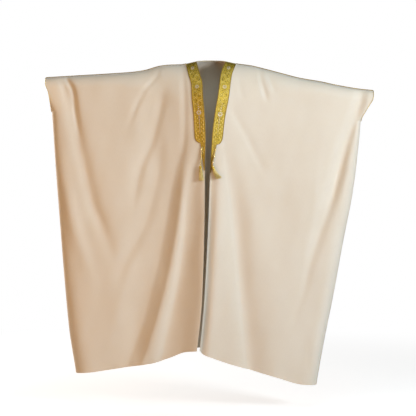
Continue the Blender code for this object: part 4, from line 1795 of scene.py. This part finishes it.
    def scales(self, top: float, foot: float) -> list[Mark]:
        """Rows of small leaves like scales between two heights, which point down.

        Args:
            top: Height of the first row.
            foot: Height that all rows stay above.

        Returns:
            Their marks.
        """
        marks, pitch, inner = [], self.scale_pitch, 0.0080
        for row, z in enumerate(steps_down(top, foot, pitch * 0.86)):
            outer = self.shape.width_at(z) - inner
            count = int((outer - inner) / pitch)
            for index in range(count + (row + 1) % 2):
                reach = inner + (outer - inner) * (index + (row % 2) / 2.0) / max(count, 1)
                if abs(reach - self.middle) > 0.35 * pitch:
                    marks.append(self.mark(reach, z, -QUARTER,
                                           (pitch * 0.86, pitch * 0.46, 0.0019)))
        return marks

    def spray(self, start: float, end: float, size: float) -> list[Mark]:
        """Small silver leaves in pairs up or down the middle, smaller towards the end.

        Args:
            start: Height of the first pair.
            end: Height of the last one.
            size: Length of the first leaves.

        Returns:
            Marks of the leaves.
        """
        marks = []
        way = 1.0 if end > start else -1.0
        for share in np.linspace(0.0, 1.0, max(2, int(abs(end - start) / (0.95 * size)))):
            length = size * (1.0 - 0.45 * share)
            for turn in (-0.55, 0.55):
                marks.append(self.mark(self.middle + 0.30 * length * math.sin(turn),
                                       between(start, end, share), way * (QUARTER + turn),
                                       (length, length * 0.36, 0.0015)))
        return marks

    def tail_leaves(self) -> list[Mark]:
        """Leaves in pairs down the tail, smaller towards its tip.

        Returns:
            Their marks.
        """
        marks = []
        for z in steps_down(self.shape.tail_start + 0.004, self.shape.tail_end + 0.016,
                            self.tail_pitch):
            width = self.shape.width_at(z)
            size = min(self.tail_pitch * 1.1, 0.55 * width)
            for way in (-1.0, 1.0):
                marks.append(self.mark(width / 2.0 + way * 0.17 * width, z,
                                       -QUARTER + way * math.radians(32.0),
                                       (size, size * 0.42, 0.0012)))
        return marks

    def border(self) -> list[Mark]:
        """Seeds in a row beside both edges of the band.

        Returns:
            Their marks.
        """
        marks = []
        for z in steps_down(self.top - 0.003, self.shape.tail_start, self.seed_pitch):
            for reach, lean in ((self.seed_inset, 0.6),
                                (self.shape.width_at(z) - self.seed_inset, -0.6)):
                marks.append(self.mark(reach, z, -QUARTER + lean, (
                    self.seed_pitch * 0.82, self.seed_pitch * 0.48, 0.0011)))
        return marks

    def build(self, materials: "Wardrobe") -> list[Object]:
        """Build the band with its embroidery.

        Args:
            materials: Finishes of the cloak.

        Returns:
            The ground first, then the pieces sewn on it.
        """
        medallions = MEDALLIONS[self.side]
        silver, hearts, chains, leaves = [], [], [], []
        for z, radius in medallions:
            petals, ring = self.rosette(z, radius)
            silver += petals
            hearts += ring
        for (z, radius), (next_z, next_radius) in zip(medallions, medallions[1:]):
            stems, grown = self.vine(z - radius - 0.004, next_z + next_radius + 0.004)
            chains += stems
            leaves += grown
        z, radius = medallions[-1]
        silver += self.spray(z + radius + 0.005, z + radius + 0.034, 0.0066)
        silver += self.spray(z - radius - 0.005, self.shape.foot + 0.006, 0.0060)
        name, pale = "gold_" + self.node + "_", materials.pale_gold
        edges = []
        for label, outer in (("inner_edge", False), ("outer_edge", True)):
            line, _ = self.edge_path(self.line_inset, outer)
            chains.append(Chain(line, np.full(len(line), self.line_thread)))
            edges.append((name + label, *self.edge_path(self.edge_inset, outer)))
        pieces = [self.ground(materials.band)]
        pieces += [EDGE_CORD.lay(*edge, materials.dark_gold) for edge in edges]
        pieces.append(sweep(name + "vines", chains, pale))
        for label, motif, marks, material in (
                ("leaves", Motif.LEAF, leaves, pale),
                ("hearts", Motif.LEAF, hearts, pale),
                ("scales", Motif.LEAF,
                 self.scales(z - radius - 0.006, self.shape.tail_start + 0.004), pale),
                ("tail", Motif.LEAF, self.tail_leaves(), materials.dark_gold),
                ("medallions", Motif.LEAF, silver, materials.silver),
                ("border", Motif.SEED, self.border(), materials.gold)):
            pieces.append(sew(name + label, motif, marks, material))
        return pieces


@dataclass(frozen=True)
class NeckBand:
    """Gold band round the back of the neck."""

    panel: Panel
    form: CloakForm
    end_share: float = 0.30  # depth of its ends, as a share of its full depth
    turn: float = math.radians(22.5)  # turn of the cloth that it covers
    under: float = 0.0004  # lift of its underside
    thickness: float = 0.0013
    edge_share: float = 0.12  # share of its depth over which an edge is rounded
    steps: int = 10  # rows of points down it, less one
    depth: float = 0.020  # its depth on the flat cut
    seed: Triple = (0.0046, 0.0034, 0.0013)
    seed_pitch: float = 0.0052

    def lines(self) -> tuple[Array, Array]:
        """Columns that it covers, and the row of its lower edge at each.

        Returns:
            Column numbers, and a row number for each.
        """
        half = len(self.form.half_columns(self.form.back_share))
        first = half - 1 - self.form.band_columns
        last = half + self.form.neck_columns - 1 + self.form.band_columns - 1
        column = np.arange(first, last + 1, dtype=float)
        inward = np.minimum(column - first, last - column) / self.form.band_columns
        depth = between(self.end_share, 1.0, np.sin(QUARTER * np.minimum(inward, 1.0)))
        return column, depth * self.turn / QUARTER * self.form.turn_rows

    def build(self, materials: "Wardrobe") -> list[Object]:
        """Build the neck band with its edge cords and seeds.

        Args:
            materials: Finishes of the cloak.

        Returns:
            The ground first, then the pieces sewn on it.
        """
        column, foot = self.lines()
        share = np.linspace(0.0, 1.0, self.steps + 1)[:, None]
        row = foot * share
        grid = row, column + np.zeros_like(row)
        crown = np.sqrt(np.clip(np.minimum(share, 1.0 - share) / self.edge_share, 0.05, 1.0))
        outer = self.panel.lay(*grid, self.under + self.thickness * crown)
        inner = self.panel.lay(*grid, self.under / 2.0)
        flat = np.stack([share * self.depth + np.zeros_like(row),
                         travelled(outer[0]) + np.zeros_like(row)], axis=2)
        pieces = [wall_object("gold_band_neck", outer, inner, self.panel.up(*grid), flat,
                              materials.band)]
        lift = self.under + self.thickness
        for label, level in (("upper", 0.07), ("lower", 0.93)):
            place = foot * level, column
            pieces.append(EDGE_CORD.lay("gold_band_neck_" + label + "_edge",
                                        self.panel.lay(*place, lift), self.panel.up(*place),
                                        materials.dark_gold))
        marks = self.panel.marks(foot * 0.5, column, lift, self.seed_pitch, self.seed)[1:-1]
        return [*pieces, sew("gold_band_neck_seeds", Motif.LEAF, marks, materials.pale_gold)]


# Braid, edging, cords and tassels


@dataclass(frozen=True)
class ShoulderBraid:
    """Flat gold braid over one shoulder seam."""

    side: Side
    form: CloakForm
    lift: float = 0.0021  # height of its middle over the seam
    sizes: Plies = Plies(3, 0.0135, 0.0022, 0.0006, 0.0013, crossings=2.0, sides=5, step=0.0014)

    def build(self, material: Material) -> Object:
        """Build the braid from the band's edge to the cuff.

        Args:
            material: Its material.

        Returns:
            The object.
        """
        share = self.form.half_columns()[:-self.form.band_columns]
        path = self.form.shoulder(self.side, share) + (0.0, 0.0, self.lift)
        up = np.tile((0.0, 0.0, 1.0), (len(path), 1))
        return self.sizes.lay("seam_braid_" + self.side.value, path, up, material)


@dataclass(frozen=True)
class SlitEdging:
    """Gold edging round one hand slit."""

    side: Side
    form: CloakForm
    front: Panel
    back: Panel
    reach: float = 0.0012  # distance of its middle from the cloth's free edge
    sizes: Plies = Plies(2, 0.0052, 0.0007, 0.0007, 0.0008, sides=5, step=0.0010)

    def build(self, material: Material) -> Object:
        """Build the edging as a closed loop just outside the free edges.

        Args:
            material: Its material.

        Returns:
            The object.
        """
        last = self.form.turn_rows + self.form.slit_rows
        down = self.front.points[:, 0]
        up = self.back.points[:, 0 if self.side is Side.RIGHT else -1]
        loop = np.concatenate([[(down[0] + up[0]) / 2.0], down[1:last],
                               [(down[last] + up[last]) / 2.0], up[1:last][::-1]])
        loop[:, 0] += self.side.sign * self.reach
        out = np.tile((self.side.sign, 0.0, 0.0), (len(loop), 1))
        return self.sizes.lay("slit_edging_" + self.side.value, loop, out, material, closed=True)


class Stop(NamedTuple):
    """A stop on a cord's route: its place from the front and its lift off the cloth."""

    x: float
    z: float
    lift: float


CORD_ROUTE = {
    Side.RIGHT: table(
        Stop, -37, -379, 4.8, -36.8, -402, 5.6, -39.5, -430, 7, -42.5, -460, 9.6),
    Side.LEFT: table(
        Stop, 26.2, -378, 4.8, 22.2, -402, 5.6, 16.5, -430, 7, 11.2, -453, 8.8, 12.4, -464, 9.6),
}


@dataclass(frozen=True)
class GoldCord:
    """Twisted cord that hangs from the band's foot."""

    side: Side
    front: Panel
    diameter: float = 0.005
    steps: int = 30  # points along its path, less one
    sizes: Plies = Plies(3, 0.0330, 0.0016, 0.0016, 0.0016, sides=8, step=0.0008)

    def path(self) -> Array:
        """Smooth path through the route's stops, from the exit to the tassel.

        Returns:
            Points of the path.
        """
        knots = []
        for stop in CORD_ROUTE[self.side]:
            spot = self.front.lay(*self.front.find(stop.x, stop.z), stop.lift)
            knots.append((stop.x, spot[1], stop.z))
        order = range(len(knots))
        at = np.linspace(0.0, len(knots) - 1.0, self.steps + 1)
        return np.stack([smooth(at, order, values) for values in zip(*knots)], axis=1)

    def build(self, material: Material) -> tuple[Object, Array]:
        """Build the cord and give it with its path.

        Args:
            material: Its material.

        Returns:
            The object, and points of the path.
        """
        path = self.path()
        up = np.tile((0.0, -1.0, 0.0), (len(path), 1))
        return self.sizes.lay("twisted_cord_" + self.side.value, path, up, material), path


def ring(radius: Any, height: float, around: int) -> Array:
    """Points of a level ring round the Z axis.

    Args:
        radius: Its radius, or that of each point.
        height: Its height.
        around: How many points it has.

    Returns:
        One row for each point.
    """
    angles = TAU * np.arange(around) / around
    return np.stack([radius * np.cos(angles), radius * np.sin(angles), np.full(around, height)],
                    axis=1)


HEAD_PROFILE = (  # drop and share of the radius down a tassel's head
    (0.0, 0.42), (0.0008, 0.60), (0.0022, 0.82), (0.0042, 0.96), (0.0066, 1.0), (0.0086, 0.92),
    (0.0098, 0.80), (0.0108, 0.78), (0.0120, 0.84), (0.0140, 0.92), (0.0160, 0.96))


BINDINGS = ((0.0009, 0.66), (0.0104, 0.84))  # drop and share of the radius of its bindings


GOLDEN_ANGLE = math.pi * (3.0 - math.sqrt(5.0))


@dataclass(frozen=True)
class Tassel:
    """Gold thread tassel on the end of a cord."""

    side: Side
    lean: float  # how far it leans to the cloak's left
    sweep: float  # how far its skirt curves that way
    skirt_length: float
    skirt_wide: float  # half width of the skirt's end
    skirt_deep: float = 0.0070  # half depth of the skirt's end
    head_radius: float = 0.0062
    head_length: float = 0.016
    around: int = 36  # points round the head
    strands: int = 170
    thread: float = 0.00042  # radius of one thread
    gap: float = 0.00045  # gap between the cord's end and the head
    binding: float = 0.0009  # radius of a binding's thread
    seed: int = 11  # seed for the differences between threads

    def placed(self, points: Array, start: Array) -> Array:
        """Turn points by the lean and move them to the head's top.

        Args:
            points: Points with the head's top at the origin.
            start: Place of the head's top.

        Returns:
            The points in their place.
        """
        x, y, z = points.T
        cosine, sine = math.cos(self.lean), math.sin(self.lean)
        return np.stack([x * cosine - z * sine, y, x * sine + z * cosine], axis=1) + start

    def head(self, start: Array, material: Material) -> Object:
        """Head wound with thread, closed at both ends.

        Args:
            start: Place of its top.
            material: Its material.

        Returns:
            The object.
        """
        rib = 1.0 + 0.035 * np.cos(12.0 * TAU * np.arange(self.around) / self.around)
        points = np.concatenate([ring(self.head_radius * share * rib, -drop, self.around)
                                 for drop, share in HEAD_PROFILE])
        bottom = len(points) - self.around
        faces = []
        for first in range(0, bottom, self.around):
            for index in range(self.around):
                here, after = first + index, first + (index + 1) % self.around
                faces.append((here, here + self.around, after + self.around, after))
        faces += [tuple(range(self.around)), tuple(range(bottom, len(points)))[::-1]]
        name = "tassel_head_" + self.side.value
        return add_object(name, finish_mesh(name, self.placed(points, start), faces), material)

    def skirt(self, start: Array, material: Material) -> Object:
        """Threads of the skirt, each a little different.

        Args:
            start: Place of the head's top.
            material: Their material.

        Returns:
            One object with every thread.
        """
        random = np.random.default_rng(self.seed + (1 if self.side is Side.LEFT else 0))
        share = np.linspace(0.0, 1.0, 9)
        chains = []
        for index in range(self.strands):
            out = math.sqrt((index + 0.5) / self.strands)
            angle = GOLDEN_ANGLE * index + random.normal(0.0, 0.08)
            way = np.array([math.cos(angle), math.sin(angle)])
            root = 0.86 * self.head_radius * out * way
            tip = out * way * (self.skirt_wide, self.skirt_deep) + random.normal(0.0, 0.0006, 2)
            length = self.skirt_length * (1.0 + random.normal(0.0, 0.02) - 0.03 * out)
            x, y = between(root[:, None], tip[:, None], share ** 0.85)
            turns = share * random.uniform(0.8, 1.6) + random.random()
            wobble = 0.0005 * share * np.sin(TAU * turns)
            points = np.stack([x + self.sweep * share ** 2 + wobble, y + 0.6 * wobble,
                               0.002 - self.head_length - length * share], axis=1)
            radii = np.full(len(share), self.thread * random.uniform(0.85, 1.15))
            chains.append(Chain(self.placed(points, start), radii))
        return sweep("tassel_skirt_" + self.side.value, chains, material, sides=4)

    def build(self, path: Array, materials: "Wardrobe") -> list[Object]:
        """Build the tassel on the end of its cord.

        Args:
            path: The cord's path.
            materials: Finishes of the cloak.

        Returns:
            Head, skirt and binding.
        """
        hangs = np.array([math.sin(self.lean), 0.0, -math.cos(self.lean)])
        along = unit(path[-1] - path[-2])
        tilt = math.sqrt(1.0 - min(1.0, float(np.dot(along, hangs))) ** 2)
        start = path[-1] + along * (self.gap + self.head_radius * HEAD_PROFILE[0][1] * tilt)
        rings = [Chain(self.placed(ring(self.head_radius * share, -drop, 28), start),
                       np.full(28, self.binding), True) for drop, share in BINDINGS]
        return [self.head(start, materials.gold), self.skirt(start, materials.tassel),
                sweep("tassel_binding_" + self.side.value, rings, materials.pale_gold, sides=6)]


TASSELS = {
    Side.RIGHT: Tassel(Side.RIGHT, math.radians(3.0), 0.001, 0.053, 0.0115),
    Side.LEFT: Tassel(Side.LEFT, math.radians(17.0), 0.011, 0.045, 0.0130),
}


@dataclass(frozen=True)
class Wardrobe:
    """Every finish of the cloak, made once, in the order of FINISHES."""

    cloth: Material
    sewing: Material
    band: Material
    gold: Material
    pale_gold: Material
    dark_gold: Material
    silver: Material
    tassel: Material
    cord: Material


# Studio


class Softbox(NamedTuple):
    """A square area light: where it is, what it points at, its size, power and colour."""

    name: str
    place: Triple
    target: Triple
    size: float
    power: float
    colour: Colour


@dataclass(frozen=True)
class Studio:
    """Camera, floor and soft lights."""

    eye: Triple = (0.0, -6.5, -0.45)
    target: Triple = (-0.009, 0.0, -0.654)
    lens: float = 123.9  # focal length in millimetres
    sensor: float = 36.0  # width of the sensor in millimetres
    floor_z: float = -1.562  # where the floor is when the cloak is worn standing
    floor_radius: float = 7.0
    world: float = 0.03  # strength of the white surroundings as light
    boxes: tuple[Softbox, ...] = (
        Softbox("key", (2.8, -2.5, 0.3), (0.0, 0.0, -0.6), 1.1, 113.0, (0.87, 0.95, 1.0)),
        Softbox("fill", (-2.0, -2.4, -0.5), (-0.4, 0.0, -0.8), 1.4, 30.0, (1.0, 0.51, 0.14)),
        Softbox("top", (0.1, -1.5, 2.0), (0.0, 0.0, -0.3), 1.6, 22.0, (0.77, 0.955, 1.0)),
        Softbox("rear", (-2.7, 2.4, 0.4), (0.0, 0.0, -0.7), 1.5, 105.0, (1.0, 0.90, 0.80)),
    )

    def aimed(self, data: ID, place: Sequence[float], target: Sequence[float]) -> Object:
        """Put a camera or light at a place, looking at a target.

        Args:
            data: The camera or light.
            place: Where it stands.
            target: Where it looks.

        Returns:
            The object.
        """
        thing = add_object(data.name, data)
        thing.location = place
        thing.rotation_euler = (Vector(target) - Vector(place)).to_track_quat("-Z", "Y").to_euler()
        return thing

    def camera(self) -> None:
        """Make the camera at the photograph's viewing angle."""
        data = bpy.data.cameras.new("camera")
        data.lens = self.lens
        data.sensor_width = self.sensor
        bpy.context.scene.camera = self.aimed(data, self.eye, self.target)

    def floor(self) -> None:
        """Make the pale floor."""
        points = ring(self.floor_radius, self.floor_z, 96)
        mesh = finish_mesh("floor", points, [tuple(range(len(points)))])
        pale = PaleFloor("pale_floor", (0.55, 0.555, 0.565), 1.3, 3.2).make()
        add_object("floor", mesh, pale)

    def lights(self) -> None:
        """Make the soft lights and the white surroundings."""
        for box in self.boxes:
            data = bpy.data.lights.new(box.name, "AREA")
            data.shape = "SQUARE"
            data.size, data.energy, data.color = box.size, box.power, box.colour
            self.aimed(data, box.place, box.target).visible_camera = False
        world = bpy.data.worlds.new("white_surroundings")
        world.use_nodes = True
        wiring = Wiring(world.node_tree)
        seen = wiring.add("ShaderNodeLightPath").outputs["Is Camera Ray"]
        strength = wiring.add("ShaderNodeMapRange", {0: seen, 3: self.world, 4: 1.0})
        wiring.feed(world.node_tree.nodes["Background"],
                    {"Color": WHITE, "Strength": strength.outputs[0]})
        bpy.context.scene.world = world
        bpy.context.scene.view_settings.view_transform = "Standard"

    def build(self) -> None:
        """Make the camera first, then the floor and the lights."""
        self.camera()
        self.floor()
        self.lights()
        LOG.info("studio: %d soft lights", len(self.boxes))


@dataclass(frozen=True)
class Cloak:
    """The whole cloak."""

    form: CloakForm
    cloth: Cloth
    materials: Wardrobe

    def hang_cords(self, fronts: dict[Side, Panel]) -> None:
        """Args:
            fronts: Form of each front.
        """
        for side, front in fronts.items():
            cord, path = GoldCord(side, front).build(self.materials.cord)
            keep(cord, Slot.CORD, "cord_" + side.value)
            pieces = TASSELS[side].build(path, self.materials)
            keep_set(pieces, Slot.TASSEL, "tassel_" + side.value)
            length = float(np.linalg.norm(np.diff(path, axis=0), axis=1).sum())
            tuple(path[0])

    def trims(self, side: Side | None, panel: Panel, back: Panel) -> list[Object]:
        """Build and keep what is sewn on a panel.

        Args:
            side: Side of a front, or None for the back.
            panel: The panel's form.
            back: The back's form.

        Returns:
            The gold pieces, then the hem's stitches.
        """
        if side is None:
            sewn = NeckBand(back, self.form).build(self.materials)
            keep_set(sewn, Slot.BAND, "band_neck")
        else:
            band = GoldBand(side, panel, self.form)
            sewn = band.build(self.materials)
            keep_set(sewn, Slot.BAND, band.node)
            braid = ShoulderBraid(side, self.form).build(self.materials.dark_gold)
            edging = SlitEdging(side, self.form, panel, back).build(self.materials.gold)
            sewn += [keep(braid, Slot.BRAID, "braid_" + side.value),
                     keep(edging, Slot.BRAID, "edging_" + side.value)]
        stitches = sew(panel.name.value + "_stitches", Motif.STITCH, self.cloth.hem_marks(panel),
                       self.materials.sewing)
        return [*sewn, keep(stitches, Slot.CLOTH)]

    def build(self) -> None:
        """Build the cords first, then each panel with what is sewn on it."""
        fronts = {side: self.form.front(side) for side in Side}
        back = self.form.back()
        self.hang_cords(fronts)
        for side, panel in (*fronts.items(), (None, back)):
            cloth = keep(self.cloth.build(panel, self.materials.cloth), Slot.CLOTH,
                         panel.name.value)
            trims = self.trims(side, panel, back)
            self.form.flat_width(panel.name)


def main() -> None:
    """Build the studio and the cloak."""
    logging.basicConfig(level=logging.INFO, format="%(name)s: %(message)s", stream=sys.stdout)
    Studio().build()
    Cloak(CloakForm(), Cloth(), Wardrobe(*(finish.make() for finish in FINISHES))).build()


if __name__ == "__main__":
    main()
